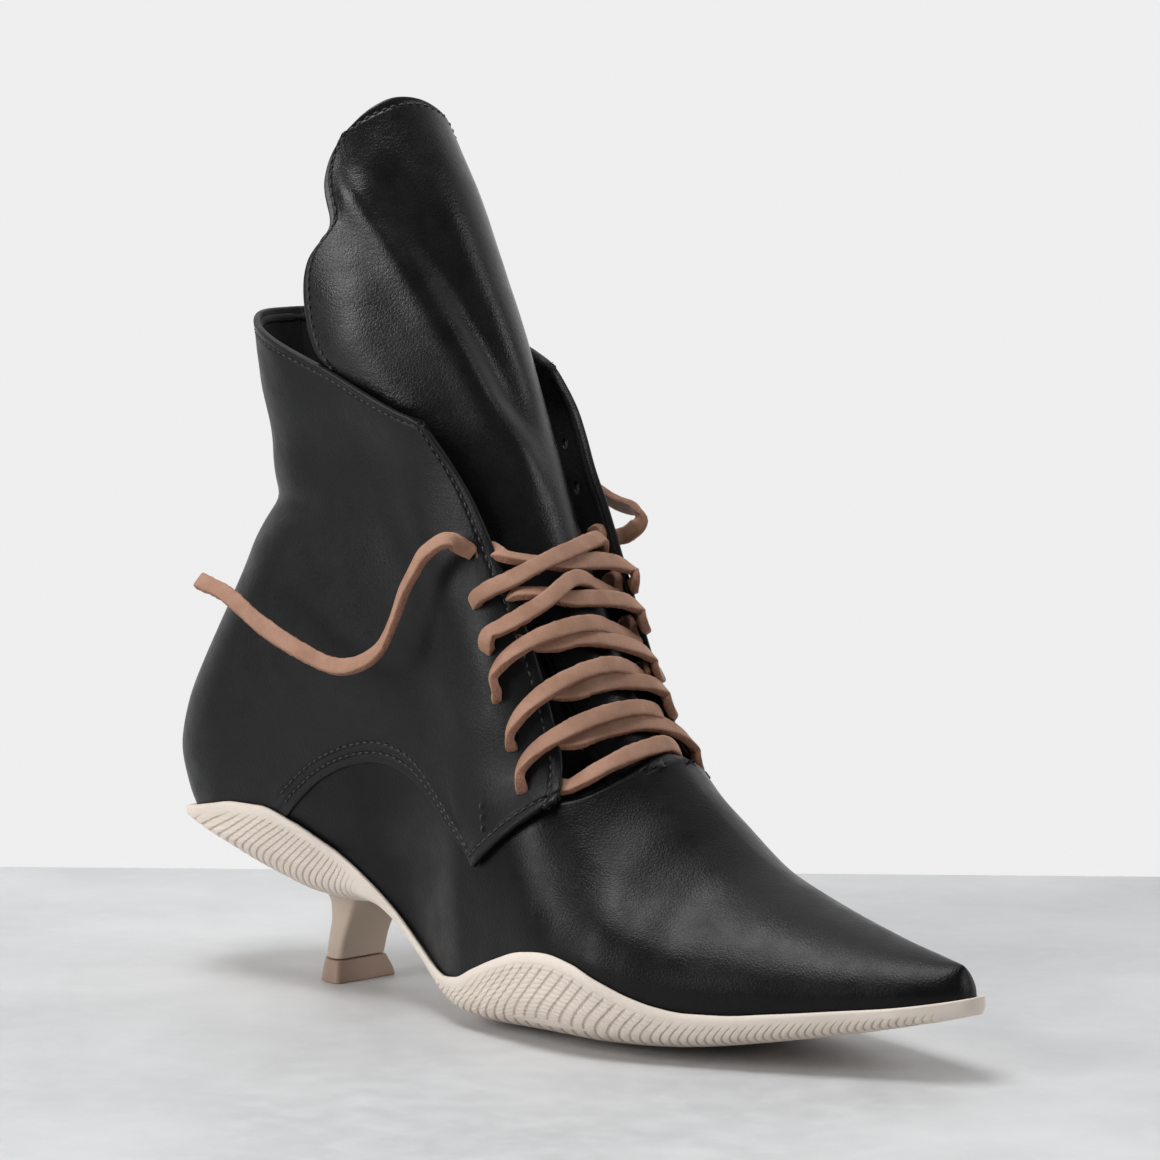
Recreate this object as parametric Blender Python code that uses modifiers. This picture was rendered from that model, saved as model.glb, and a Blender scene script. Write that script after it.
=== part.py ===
"""Pointed lace-up boot, right foot.

Metres, +Z up, +X to the toe, +Y to the inner (medial) side.  The origin is on
the floor under the middle of the heel's top-piece.  The last is given by small
tables of named columns, in millimetres, one row for each section or height.
"""
import math
import bpy
import bmesh
from mathutils import Vector

# ------------------------------------------------------------------ sizes, mm
LENGTH = 273.0            # heel seat to toe tip of the upper, along x
WALL = 2.0                # leather and lining together
GAP = 0.3                 # between neighbouring pieces
SOLE_LIP = 1.2            # rubber rim outside the upper, at its top edge
SOLE_REAR, SOLE_FRONT = 1.6, 275.6
TIP_START = 258.0         # where the plan of the toe starts to round off
TIP_Y = 6.0               # middle of the blunt tip
BED_GAP = 0.45            # upper's lower rim above the footbed
INSOLE_T = 2.5
TONGUE_T = 1.8
TREAD_TOP = 6.0           # height of the heel's top-piece
ORIGIN_X = 56.5           # middle of the top-piece, from the back of the heel
BALL_SKEW = 0.12          # the wave over the ball lies across the foot at a slant
LACE_W, LACE_T = 4.6, 2.2
HOLE_BACK = 10.0          # lace holes behind the flap's front edge
NODE_COLLECTION = "pointed_lace_up_boot"

# horizontal sections of heel, ankle and shaft, by height
SHAFT = dict(
 z      = [40.0, 46.0, 52.0, 61.0, 75.0, 90.0, 105.0, 120.0, 134.0, 146.0, 165.0, 190.0, 250.0],
 back   = [ 9.0,  6.0,  4.0,  2.5,  6.0, 13.2,  20.8,  28.2,  33.3,  34.0,  32.6,  30.8,  25.0],
 centre = [33.0, 33.0, 33.0, 33.0, 36.0, 41.0,  48.0,  56.0,  63.0,  65.0,  65.0,  65.0,  65.0],
 middle = [ 0.5,  0.5,  0.5,  0.5,  1.1,  2.8,   4.5,   5.8,   7.2,   7.0,   4.0,   2.6,   1.5],
 lat    = [23.5, 25.5, 27.5, 29.5, 31.5, 32.0,  31.5,  30.5,  29.5,  29.5,  31.0,  33.0,  36.0],
 med    = [22.5, 24.5, 26.5, 28.5, 30.0, 30.0,  29.0,  27.5,  26.5,  27.0,  29.0,  31.5,  35.0],
)
# cross sections of the foot, by distance from the heel
FOOT = dict(
 x       = [ 60.0,  84.0, 100.0, 115.0, 125.0, 138.0, 150.0, 163.0, 172.0, 183.0, 193.0, 204.0, 222.0, 236.0, 250.0, 262.0, 273.0],
 lat     = [ 27.0,  27.0,  28.5,  30.5,  32.0,  34.5,  37.0,  39.5,  40.5,  40.0,  37.5,  33.5,  26.0,  19.5,  12.5,   6.8,   2.0],
 med     = [ 24.0,  17.5,  15.5,  17.5,  20.5,  26.5,  32.0,  36.5,  38.5,  38.5,  37.0,  34.5,  29.0,  24.5,  19.5,  15.5,  12.5],
 lat_up  = [ 30.0,  30.5, 31.0, 32.0, 33.0, 35.0, 37.0, 39.5, 40.5, 40.0, 37.5, 33.5, 26.0, 19.5, 12.5,  6.8,  2.0],
 med_up  = [ 28.5,  28.0, 27.8, 27.8, 28.2, 29.8, 32.5, 36.5, 38.5, 38.5, 37.0, 34.5, 29.0, 24.5, 19.5, 15.5, 12.5],
 ridge_y = [  0.0,   1.0,   2.0,   3.0,   3.5,   4.5,   5.5,   6.5,   7.0,   7.5,   8.0,   8.0,   8.0,   8.0,   7.0,   6.3,   6.0],
 ridge_z = [600.0, 440.0, 330.0, 240.0, 198.0, 150.0, 110.0,  83.0,  71.5,  61.5,  53.5,  46.8,  39.8,  35.8,  32.5,  30.4,  28.2],
 side_z  = [ 70.0,  55.0,  45.0,  36.0,  32.0,  29.0,  27.0,  26.0,  25.0,  24.0,  22.0,  20.0,  19.0,  19.0,  20.0,  21.0,  21.8],
)
# rubber sole: top edge, footbed and underside, by distance from the heel
SOLE = dict(
 x      = [  2.0,  8.0, 17.0, 28.0, 38.0, 48.0, 59.0, 72.0, 80.0, 87.0, 100.0, 110.0, 118.0, 125.0, 133.0, 142.0, 153.0, 165.0, 175.0, 184.0, 192.0, 200.0, 207.0, 214.0, 222.0, 234.0, 246.0, 258.0, 268.0, 276.0],
 edge   = [ 44.0, 45.0, 46.5, 48.5, 50.0, 50.0, 47.0, 41.0, 36.8, 32.6,  24.5,  18.2,  14.0,  12.3,  13.2,  16.8,  21.0,  24.6,  25.6,  24.0,  20.5,  17.0,  14.8,  13.8,  13.9,  15.2,  16.8,  18.3,  20.0,  21.6],
 bed    = [ 42.5, 43.0, 44.0, 45.5, 46.5, 46.0, 43.5, 38.0, 34.0, 30.0,  21.5,  15.5,  11.3,   8.8,   7.3,   6.6,   6.4,   6.4,   6.5,   6.8,   7.2,   7.9,   8.7,   9.6,  10.6,  12.2,  13.9,  15.6,  17.4,  19.2],
 bottom = [ 41.5, 41.7, 39.2, 32.4, 27.6, 25.2, 23.6, 23.8, 25.0, 24.6,  18.5,  11.5,   5.8,   2.4,   0.4,  -0.4,  -0.4,  -0.4,  -0.4,   0.3,   0.9,   1.8,   2.8,   3.9,   5.3,   7.5,   9.9,  12.6,  15.0,  17.2],
)
# roundness of the sole's cross section: spread > 1 is a hull, < 1 is boxy
HULL = dict(
 x      = [  2.0, 30.0, 55.0, 75.0, 95.0, 120.0, 135.0, 160.0, 190.0, 215.0, 276.0],
 spread = [ 1.30, 1.20, 0.95, 0.65, 0.45,  0.45,  0.55,  0.60,  0.55,  0.40,  0.35],
 drop   = [ 1.60, 1.60, 1.30, 1.03, 1.06,  1.06,  1.04,  1.03,  1.04,  1.07,  1.08],
 lip    = [  0.8,  1.6,  2.4,  2.5,  2.0,   2.0,   2.0,   3.0,   3.0,   2.0,   1.5],
)
# heel stem, by height: front and back along x, half width
STEM = dict(
 z     = [ 6.3, 12.0, 17.0, 21.0, 24.5, 28.0, 32.0],
 front = [60.8, 62.4, 64.6, 66.8, 69.5, 73.5, 80.0],
 back  = [50.7, 51.7, 52.6, 52.4, 50.8, 47.0, 41.0],
 half  = [ 8.9,  8.9,  9.1,  9.8, 11.2, 14.0, 18.0],
)
TREAD = dict(
 z     = [ 0.0,  0.8,  6.0],
 front = [62.6, 62.5, 61.0],
 back  = [49.8, 49.9, 50.6],
 half  = [11.4, 11.3,  9.4],
)
# front edge of the two facing flaps, by height
FLAP = dict(
 z     = [ 62.0, 76.0, 91.0, 108.0, 122.0, 137.0, 150.0, 160.0, 170.0],
 x_lat = [161.5,157.5,151.5, 144.0, 136.5, 128.5, 120.0, 113.5, 107.0],
 x_med = [161.5,158.0,152.0, 144.5, 138.0, 131.0, 122.5, 114.5, 106.0],
 y_lat = [ 24.0, 23.0, 22.5,  22.5,  23.0,  24.5,  27.0,  29.5,  30.5],
 y_med = [ 24.0, 23.0, 22.5,  22.5,  23.0,  24.0,  26.0,  28.0,  29.0],
)
FLAP_FLARE = 34.0          # the flap turns outward over this width
# collar, by distance from the heel
COLLAR = dict(
 x     = [ 28.0, 32.0, 45.0, 60.0, 75.0, 90.0, 102.0, 113.0, 120.0],
 z_lat = [184.0,184.0,180.5,176.0,171.0,165.5, 161.5, 158.5, 157.0],
 z_med = [184.0,184.0,183.5,182.0,179.5,176.0, 172.0, 168.0, 165.0],
)
COLLAR_CORNER = {-1: 114.0, 1: 107.0}
THROAT = (172.0, 71.5)     # x, z of the vamp's top edge on the ridge
# tongue: front line and section, from under the throat up to its tip
TONGUE = dict(
 t      = [0.00, 0.10, 0.22, 0.36, 0.50, 0.62, 0.72, 0.82, 0.92, 1.00],
 x      = [186.0,171.4,158.0,147.0,136.5,127.0,118.5,109.5, 99.0, 86.0],
 z      = [ 53.6, 64.6, 82.0,105.0,128.0,151.0,171.0,193.0,217.0,240.0],
 y      = [  7.0,  6.0,  4.0,  2.5,  1.8,  1.8,  1.6,  1.0,  0.5,  0.0],
 half   = [ 12.0, 14.0, 15.0, 15.6, 16.6, 18.8, 22.0, 26.0, 26.5, 20.0],
 sweep  = [ 60.0, 60.0, 62.0, 68.0, 78.0, 88.0, 98.0,104.0, 94.0, 45.0],
)
LACE_HOLE_Z = [66.0, 77.5, 89.5, 101.5, 113.0, 125.0]


# ------------------------------------------------------------- small functions
def pchip(xs, ys, x):
    """Smooth curve through a table, without overshoot."""
    n = len(xs)
    if x <= xs[0]:
        return ys[0] + (x - xs[0]) * (ys[1] - ys[0]) / (xs[1] - xs[0])
    if x >= xs[-1]:
        return ys[-1] + (x - xs[-1]) * (ys[-1] - ys[-2]) / (xs[-1] - xs[-2])
    i = 0
    while xs[i + 1] < x:
        i += 1
    h = [xs[k + 1] - xs[k] for k in range(n - 1)]
    d = [(ys[k + 1] - ys[k]) / h[k] for k in range(n - 1)]

    def slope(k):
        if k == 0:
            return d[0]
        if k == n - 1:
            return d[-1]
        if d[k - 1] * d[k] <= 0:
            return 0.0
        w1, w2 = 2 * h[k] + h[k - 1], h[k] + 2 * h[k - 1]
        return (w1 + w2) / (w1 / d[k - 1] + w2 / d[k])

    m0, m1, t = slope(i), slope(i + 1), (x - xs[i]) / h[i]
    return ((2 * t**3 - 3 * t * t + 1) * ys[i] + (t**3 - 2 * t * t + t) * h[i] * m0
            + (-2 * t**3 + 3 * t * t) * ys[i + 1] + (t**3 - t * t) * h[i] * m1)


def tab(table, column, key, x):
    return pchip(table[key], table[column], x)


def smooth(a, b, x):
    t = min(1.0, max(0.0, (x - a) / (b - a)))
    return t * t * (3 - 2 * t)


def lerp(a, b, t):
    return a + (b - a) * t


def side_col(side):
    return "lat" if side < 0 else "med"


def middle_y(x, z):
    """The last's middle line: shaft and ankle lean inward, the ridge curves."""
    zc = min(max(z, 40.0), 250.0)
    shaft = tab(SHAFT, "middle", "z", zc)
    ridge = tab(FOOT, "ridge_y", "x", min(x, 273.0))
    return lerp(shaft, ridge, smooth(42.0, 125.0, x))


def tip_x(z):
    return LENGTH - 0.045 * max(0.0, z - 21.0) ** 2


def waist_rise(x, z):
    """0 at the sole's edge, where the waist draws in, 1 well above it."""
    low = tab(SOLE, "edge", "x", x) - 1.0
    return smooth(low, low + 30.0, z)


def last_width(x, z, side):
    """Half width of the upper's outer face from the middle line."""
    col = side_col(side)
    blend = smooth(88.0, 132.0, x)
    shaft = foot = 0.0
    if blend < 1.0:
        zc = min(max(z, 40.0), 250.0)
        back, cx = tab(SHAFT, "back", "z", zc), tab(SHAFT, "centre", "z", zc)
        wide = tab(SHAFT, col, "z", zc)
        if x < cx:
            u = min(1.0, max(0.0, (cx - x) / (cx - back)))
            shaft = wide * (1 - u ** 2.15) ** (1 / 2.15)
        else:
            shaft = wide * (1 - 0.04 * ((x - cx) / 50.0) ** 2)
            waist = tab(FOOT, col, "x", x) - side * tab(SHAFT, "middle", "z", zc)
            low = (1 - waist_rise(x, z)) * smooth(50.0, 84.0, x)
            shaft = lerp(shaft, min(shaft, waist), low)
    if blend > 0.0:
        xx = min(x, LENGTH)
        ridge = tab(FOOT, "ridge_y", "x", xx)
        wide = lerp(tab(FOOT, col, "x", xx), tab(FOOT, col + "_up", "x", xx), waist_rise(x, z)) - side * ridge
        zs, zr = tab(FOOT, "side_z", "x", xx), tab(FOOT, "ridge_z", "x", xx)
        if z > zs:
            q = min(1.0, (z - zs) / (zr - zs))
            power = lerp(lerp(1.9, 1.5, smooth(148.0, 180.0, xx)), 1.62, smooth(195.0, 225.0, xx))
            root = lerp(lerp(2.0, 1.68, smooth(148.0, 180.0, xx)), 1.88, smooth(195.0, 225.0, xx))
            foot = wide * max(0.0, 1 - q ** power) ** (1 / root)
        else:
            q = (zs - z) / max(1.0, zs - tab(SOLE, "bed", "x", xx))
            foot = wide * (1 - 0.05 * min(1.2, q) ** 2)
        if x > TIP_START:
            u = min(1.0, (x - TIP_START) / (tip_x(z) - TIP_START))
            foot *= max(0.0, 1 - u ** 2.6) ** (1 / 2.3)
    return lerp(shaft, foot, blend)


def flap_flare(x, z, side):
    """Outward turn of the facing flaps, zero away from their front edge."""
    if z < 58.0 or x > 175.0:
        return 0.0
    zf = max(62.0, min(z, 170.0))
    edge = tab(FLAP, "x_" + side_col(side), "z", zf)
    want = tab(FLAP, "y_" + side_col(side), "z", zf)
    have = last_width(edge, zf, side) + side * middle_y(edge, zf)
    near = smooth(edge - FLAP_FLARE, edge, x) * (1 - smooth(edge, edge + 8.0, x))
    return (want - have) * near * smooth(58.0, 82.0, z)


def upper_y(x, z, side, grow=0.0):
    return middle_y(x, z) + side * (last_width(x, z, side) + flap_flare(x, z, side) + grow)


def edge_z(x, side):
    """Top edge of the rubber sole."""
    y = tab(FOOT, side_col(side), "x", max(60.0, min(x, 273.0))) * side
    return tab(SOLE, "edge", "x", x - BALL_SKEW * y * smooth(80.0, 110.0, x) * (1 - smooth(225.0, 255.0, x)))


def bed_z(x):
    return tab(SOLE, "bed", "x", x)


def keel_z(x):
    return tab(SOLE, "bottom", "x", x)


def top_point(s, side):
    """Top line of the upper in side view: collar, flap, throat, ridge."""
    col = side_col(side)
    corner_x = COLLAR_CORNER[side]
    corner_z = tab(COLLAR, "z_" + col, "x", corner_x)
    if s <= 0.30:
        u = 1 - math.cos(s / 0.30 * math.pi / 2)
        x = lerp(tab(SHAFT, "back", "z", 184.0), corner_x, u)
        return x, tab(COLLAR, "z_" + col, "x", x)
    if s <= 0.62:
        z = lerp(corner_z, 62.0, (s - 0.30) / 0.32)
        return tab(FLAP, "x_" + col, "z", z) - (tab(FLAP, "x_" + col, "z", corner_z) - corner_x) * smooth(140.0, corner_z, z), z
    if s <= 0.68:
        a = (s - 0.62) / 0.06 * math.pi / 2
        return lerp(161.5, THROAT[0], math.sin(a)), lerp(THROAT[1], 62.0, max(0.0, math.cos(a)) ** 1.3)
    u = math.sin((s - 0.68) / 0.32 * math.pi / 2)
    x = lerp(THROAT[0], LENGTH - 2.6, u)
    return x, tab(FOOT, "ridge_z", "x", x)


def foot_point(s, side, lift):
    """Bottom line of the upper in side view, lift above the footbed."""
    rear = tab(SHAFT, "back", "z", bed_z(6.0) + lift)
    if s <= 0.30:
        x = lerp(rear, 64.0, 1 - math.cos(s / 0.30 * math.pi / 2))
    elif s <= 0.62:
        x = lerp(64.0, 152.0, (s - 0.30) / 0.32)
    elif s <= 0.68:
        x = lerp(152.0, 163.0, (s - 0.62) / 0.06)
    else:
        x = lerp(163.0, LENGTH, math.sin((s - 0.68) / 0.32 * math.pi / 2))
    return x, bed_z(min(x, 272.0)) + lift


def upper_point(s, v, side, lift=BED_GAP, grow=0.0):
    """The upper's outer face: s from back seam to toe, v from sole to top line."""
    (xb, zb), (xt, zt) = foot_point(s, side, lift), top_point(s, side)
    bend = smooth(0.58, 0.72, s)
    vz = lerp(v, math.sin(v * math.pi / 2), bend)
    z = lerp(zb, zt, vz)
    x = lerp(xb, xt, vz)
    heel = 1 - smooth(0.0, 0.34, s)
    back = tab(SHAFT, "back", "z", z)
    straight = lerp(tab(SHAFT, "back", "z", zb), tab(SHAFT, "back", "z", zt), vz)
    x += heel * (back - straight)
    if s < 1e-6:
        return back, middle_y(back, z), z
    if s > 1 - 1e-6:
        x = tip_x(z)
        return x, middle_y(x, z), z
    if v > 1 - 1e-6 and s >= 0.68 - 1e-6:
        return x, middle_y(x, z), z
    return x, upper_y(x, z, side, grow), z


# ------------------------------------------------------------------- the lace
LACE_UP = (-0.39, 0.0, 0.92)       # the way up along the flaps' front edges
LACE_TURN = WALL / 2 + 1.0 + LACE_T / 2


def vec(a, b, k=1.0):
    return tuple(p + k * q for p, q in zip(a, b))


def unit(a):
    size = math.sqrt(sum(c * c for c in a)) or 1.0
    return tuple(c / size for c in a)


def cross(a, b):
    return (a[1] * b[2] - a[2] * b[1], a[2] * b[0] - a[0] * b[2], a[0] * b[1] - a[1] * b[0])


def hole_frame(k, side):
    """Lace hole k on one flap: point on the outer face, outward, forward."""
    z = LACE_HOLE_Z[k]
    x = tab(FLAP, "x_" + side_col(side), "z", z) - HOLE_BACK
    here = (x, upper_y(x, z, side), z)
    ahead = (x + 1.0, upper_y(x + 1.0, z, side), z)
    above = (x, upper_y(x, z + 1.0, side), z + 1.0)
    out = unit(cross(vec(ahead, here, -1), vec(above, here, -1)))
    if out[1] * side < 0:
        out = tuple(-c for c in out)
    up = unit(vec(LACE_UP, out, -sum(a * b for a, b in zip(LACE_UP, out))))
    forward = cross(up, out) if cross(up, out)[0] > 0 else cross(out, up)
    return here, out, unit(forward), up


def hole_turn(k, side, steps=4):
    """Arc through the flap, from its inner face round to its outer face."""
    here, out, forward, _ = hole_frame(k, side)
    centre = vec(vec(here, out, -WALL / 2), forward, LACE_TURN)
    pts = []
    for i in range(steps + 1):
        a = math.radians(-90 + 180 * i / steps)
        pts.append(vec(vec(centre, out, LACE_TURN * math.sin(a)), forward, -LACE_TURN * math.cos(a)))
    return pts


def front_x(z):
    """Front of the tongue at a height, on its middle."""
    lo, hi = 0.0, 1.0
    for _ in range(30):
        mid = (lo + hi) / 2
        if tab(TONGUE, "z", "t", mid) < z:
            lo = mid
        else:
            hi = mid
    return tab(TONGUE, "x", "t", lo)


def off_wall(x, z, side, off):
    """A point beside the flap: off > 0 outside it, off < 0 inside it."""
    shift = off if off > 0 else off - WALL
    slope = (upper_y(x + 1, z, side) - upper_y(x - 1, z, side)) / 2
    return (x, upper_y(x, z, side) + side * shift * math.hypot(1.0, slope), z)


# a crossing from hole k of one flap to hole k + 1 of the other, by height
# above hole k: at the near edge, at both sides of the middle, at the far edge
RISE = dict(near_edge=6.5, near_mid=12.5, far_mid=15.0, far_edge=14.5)
STAND = {-1: 6.4, 1: 3.0}          # the outer side's strand lies on top


def crossing(k, side, steps=16):
    """From hole k's outer face over the throat to under the other flap."""
    start, end = hole_turn(k, side)[-1], hole_turn(k + 1, -side)[0]
    f0, f1 = hole_frame(k, side)[2], hole_frame(k + 1, -side)[2]
    z = LACE_HOLE_Z[k]
    za, zb, zc, zd = (z + RISE[n] for n in ("near_edge", "near_mid", "far_mid", "far_edge"))
    edge_a = tab(FLAP, "x_" + side_col(side), "z", za)
    edge_d = tab(FLAP, "x_" + side_col(-side), "z", zd)
    mid = middle_y(150.0, z) * 0.4
    keys = [vec(start, f0, -5.0), start,
            off_wall(edge_a - 3.5, lerp(z, za, 0.6), side, 3.0),
            (edge_a + 4.2, side * (tab(FLAP, "y_" + side_col(side), "z", za) + 0.6), za),
            (front_x(zb) + STAND[side], mid + side * 8.0, zb),
            (front_x(zc) + STAND[side], mid - side * 8.0, zc),
            (edge_d + 0.8, -side * (tab(FLAP, "y_" + side_col(-side), "z", zd) - WALL - 3.6), zd),
            off_wall(edge_d - 3.5, lerp(zd, z + 11.5, 0.4), -side, -3.0),
            end, vec(end, f1, -5.0)]
    return smooth_path(keys, steps)


def bottom_bar(steps=14):
    """Under both flaps, from the first hole of one side to that of the other."""
    a, b = hole_turn(0, -1)[0], hole_turn(0, 1)[0]
    fa, fb = hole_frame(0, -1)[2], hole_frame(0, 1)[2]
    keys = [vec(a, fa, -5.0), a, off_wall(157.0, 68.5, -1, -3.0), (163.0, -14.0, 71.0), (167.8, -5.0, 74.6), (168.2, 10.5, 74.6),
            (163.0, 19.0, 71.0), off_wall(157.0, 68.5, 1, -3.0), b, vec(b, fb, -5.0)]
    return smooth_path(keys, steps)


# free ends of the thong: where they run, in millimetres from the back of the heel
END_LATERAL = dict(
 x = [129.0, 127.7, 122.5, 116.2, 112.3, 108.9, 103.0,  95.6,  83.8,  70.8,  58.2,  47.9],
 y = [-31.5, -34.0, -37.0, -39.0, -40.0, -41.0, -42.0, -43.0, -45.0, -47.0, -48.0, -48.0],
 z = [127.4, 128.6, 124.7, 115.9, 106.1,  98.7,  94.8,  93.6,  97.1, 103.2, 110.5, 113.3],
)
END_MEDIAL = dict(
 x = [134.0, 138.5, 140.0, 136.0, 128.0, 118.0, 107.0,  97.0],
 y = [ 29.6,  31.0,  34.5,  37.0,  37.5,  38.0,  38.5,  39.0],
 z = [126.6, 128.5, 132.0, 135.5, 137.5, 139.0, 142.0, 146.0],
)


def smooth_path(keys, steps):
    """Even points on a smooth curve from the second key to the last but one."""
    dense = []
    for i in range(1, len(keys) - 2):
        p0, p1, p2, p3 = keys[i - 1:i + 3]
        for j in range(12):
            t = j / 12
            dense.append(tuple(0.5 * (2 * b + (c - a) * t + (2 * a - 5 * b + 4 * c - d) * t * t
                                      + (3 * b - a - 3 * c + d) * t ** 3)
                               for a, b, c, d in zip(p0, p1, p2, p3)))
    dense.append(keys[-2])
    run = [0.0]
    for a, b in zip(dense, dense[1:]):
        run.append(run[-1] + math.dist(a, b))
    out, i = [], 0
    for k in range(steps + 1):
        goal = run[-1] * k / steps
        while i < len(run) - 2 and run[i + 1] < goal:
            i += 1
        t = (goal - run[i]) / max(1e-9, run[i + 1] - run[i])
        out.append(vec(dense[i], vec(dense[i + 1], dense[i], -1), min(1.0, t)))
    return out


def lace_route():
    """The whole thong, top hole to top hole, as (point, way up) pairs."""
    last = len(LACE_HOLE_Z) - 1

    def between(points, up0, up1):
        n = len(points) - 1
        return [(p, tuple(lerp(a, b, i / n) for a, b in zip(up0, up1))) for i, p in enumerate(points)]

    def climb(side):
        pts = []
        for k in range(last):
            up0, up1 = hole_frame(k, side)[3], hole_frame(k + 1, -side)[3]
            pts += between(hole_turn(k, side), up0, up0) + between(crossing(k, side), up0, up1)[1:-1]
            side = -side
        up = hole_frame(last, side)[3]
        return pts + between(hole_turn(last, side), up, up)

    bar = between(bottom_bar(), hole_frame(0, -1)[3], hole_frame(0, 1)[3])
    return climb(-1)[::-1] + bar[1:-1] + climb(1)


def ribbon(route, width, thick):
    """Rectangular sections along a route of (point, way up) pairs."""
    secs = []
    for i, (p, up) in enumerate(route):
        a, b = route[max(0, i - 1)][0], route[min(len(route) - 1, i + 1)][0]
        t = unit(vec(b, a, -1))
        w = unit(vec(up, t, -sum(c * d for c, d in zip(up, t))))
        n = cross(t, w)
        secs.append([vec(vec(p, w, i1 * width / 2), n, i2 * thick / 2)
                     for i1, i2 in ((-1, -1), (1, -1), (1, 1), (-1, 1))])
    return secs


# ------------------------------------------------------------ blender helpers
def to_m(x, y, z):
    return Vector(((x - ORIGIN_X) / 1000.0, y / 1000.0, z / 1000.0))


def collection(name):
    coll = bpy.data.collections.new(name)
    bpy.context.scene.collection.children.link(coll)
    return coll


def material(name, rgb, roughness, metallic=0.0):
    mat = bpy.data.materials.new(name)
    mat.use_nodes = True
    bsdf = mat.node_tree.nodes["Principled BSDF"]
    bsdf.inputs["Base Color"].default_value = (*rgb, 1.0)
    bsdf.inputs["Roughness"].default_value = roughness
    bsdf.inputs["Metallic"].default_value = metallic
    return mat


def new_object(name, bm, coll, mat=None, smooth_faces=True):
    mesh = bpy.data.meshes.new(name)
    bm.to_mesh(mesh)
    bm.free()
    for poly in mesh.polygons:
        poly.use_smooth = smooth_faces
    obj = bpy.data.objects.new(name, mesh)
    coll.objects.link(obj)
    if mat:
        mesh.materials.append(mat)
    return obj


def loft(sections, closed=True, caps=True):
    """Skin a list of sections, each a list of mm points of one length."""
    bm = bmesh.new()
    rows = [[bm.verts.new(to_m(*p)) for p in sec] for sec in sections]
    count = len(rows[0])
    for a, b in zip(rows, rows[1:]):
        for i in range(count if closed else count - 1):
            j = (i + 1) % count
            bm.faces.new((a[i], a[j], b[j], b[i]))
    if caps and closed:
        bm.faces.new(list(reversed(rows[0])))
        bm.faces.new(rows[-1])
    bmesh.ops.remove_doubles(bm, verts=bm.verts, dist=2e-6)
    bmesh.ops.recalc_face_normals(bm, faces=bm.faces)
    return bm


def boolean(obj, tool, operation):
    mod = obj.modifiers.new(operation.lower(), "BOOLEAN")
    mod.operation = operation
    mod.solver = "EXACT"
    mod.object = tool
    return mod


def as_cutter(obj):
    obj.hide_render = True
    obj.display_type = "WIRE"
    return obj


# ------------------------------------------------------------------ the pieces
def upper_columns(collar=10, flap=11, throat=4, ridge=14):
    """Values of s, with one on each corner of the top line."""
    out = []
    for a, b, n in ((0.0, 0.30, collar), (0.30, 0.62, flap), (0.62, 0.68, throat), (0.68, 1.0, ridge)):
        out += [lerp(a, b, k / n) for k in range(n)]
    return out + [1.0]


def build_upper(coll, mat, rows=14):
    """Open outer face of the last, both sides welded, then its wall."""
    bm = bmesh.new()
    columns = upper_columns()
    cols = len(columns) - 1
    for side in (-1, 1):
        grid = []
        for s in columns:
            grid.append([bm.verts.new(to_m(*upper_point(s, j / rows, side)))
                         for j in range(rows + 1)])
        for i in range(cols):
            for j in range(rows):
                quad = [grid[i][j], grid[i + 1][j], grid[i + 1][j + 1], grid[i][j + 1]]
                bm.faces.new(quad if side < 0 else quad[::-1])
    bmesh.ops.remove_doubles(bm, verts=bm.verts, dist=1e-5)
    bmesh.ops.recalc_face_normals(bm, faces=bm.faces)
    upper = new_object("upper", bm, coll, mat)
    wall = upper.modifiers.new("wall", "SOLIDIFY")
    wall.thickness = WALL / 1000.0
    wall.offset = -1.0
    wall.use_even_offset = True
    wall.use_rim = True
    return upper


def sole_width(x, side):
    """Outer half width of the rubber at its top edge, from the middle line."""
    z = edge_z(x, side)
    rear, front = SOLE_REAR, SOLE_FRONT
    inner = min(max(x, tab(SHAFT, "back", "z", z) + 0.01), TIP_START)
    base = last_width(max(inner, 30.0) if x < 30.0 else inner, z, side) + GAP + SOLE_LIP
    if x < 30.0:
        u = (30.0 - x) / (30.0 - rear)
        return base * max(0.0, 1 - u ** 2.15) ** (1 / 2.15)
    if x > TIP_START:
        u = (x - TIP_START) / (front - TIP_START)
        wide = last_width(TIP_START, z, side) * 0 + tab(FOOT, side_col(side), "x", min(x, 273.0)) \
            - side * tab(FOOT, "ridge_y", "x", min(x, 273.0)) + GAP + SOLE_LIP
        return wide * max(0.0, 1 - u ** 2.6) ** (1 / 2.3)
    return base


def sole_section(x, around=8):
    """Closed section of the rubber at x: rims, round sides and underside."""
    mid = middle_y(x, edge_z(x, -1))
    spread, lip = tab(HULL, "spread", "x", x), tab(HULL, "lip", "x", x)
    keel = keel_z(x)
    half = {}
    for side in (-1, 1):
        top = edge_z(x, side)
        w = max(0.35, sole_width(x, side))
        low = min(top - lip, top - 0.45 * (top - keel))
        pts = [(x, mid + side * w, top)]
        for k in range(around + 1):
            a = k / around * math.pi / 2
            y = w * (math.cos(a) ** spread if k < around else 0.0)
            z = low - (low - keel) * math.sin(a) ** tab(HULL, "drop", "x", x)
            pts.append((x, mid + side * y, max(0.0, z)))
        half[side] = pts
    centre_top = (x, mid, max(edge_z(x, -1), edge_z(x, 1)))
    return [centre_top] + half[-1][:-1] + [half[-1][-1]] + half[1][:-1][::-1]


def stations(start, end, first, last, step):
    """x positions, close together at both round ends."""
    out = [start + (first - start) * (1 - math.cos(k / 6 * math.pi / 2)) for k in range(6)]
    count = max(2, round((last - first) / step))
    out += [lerp(first, last, k / count) for k in range(count)]
    out += [last + (end - last) * math.sin(k / 6 * math.pi / 2) for k in range(7)]
    return out


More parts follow.
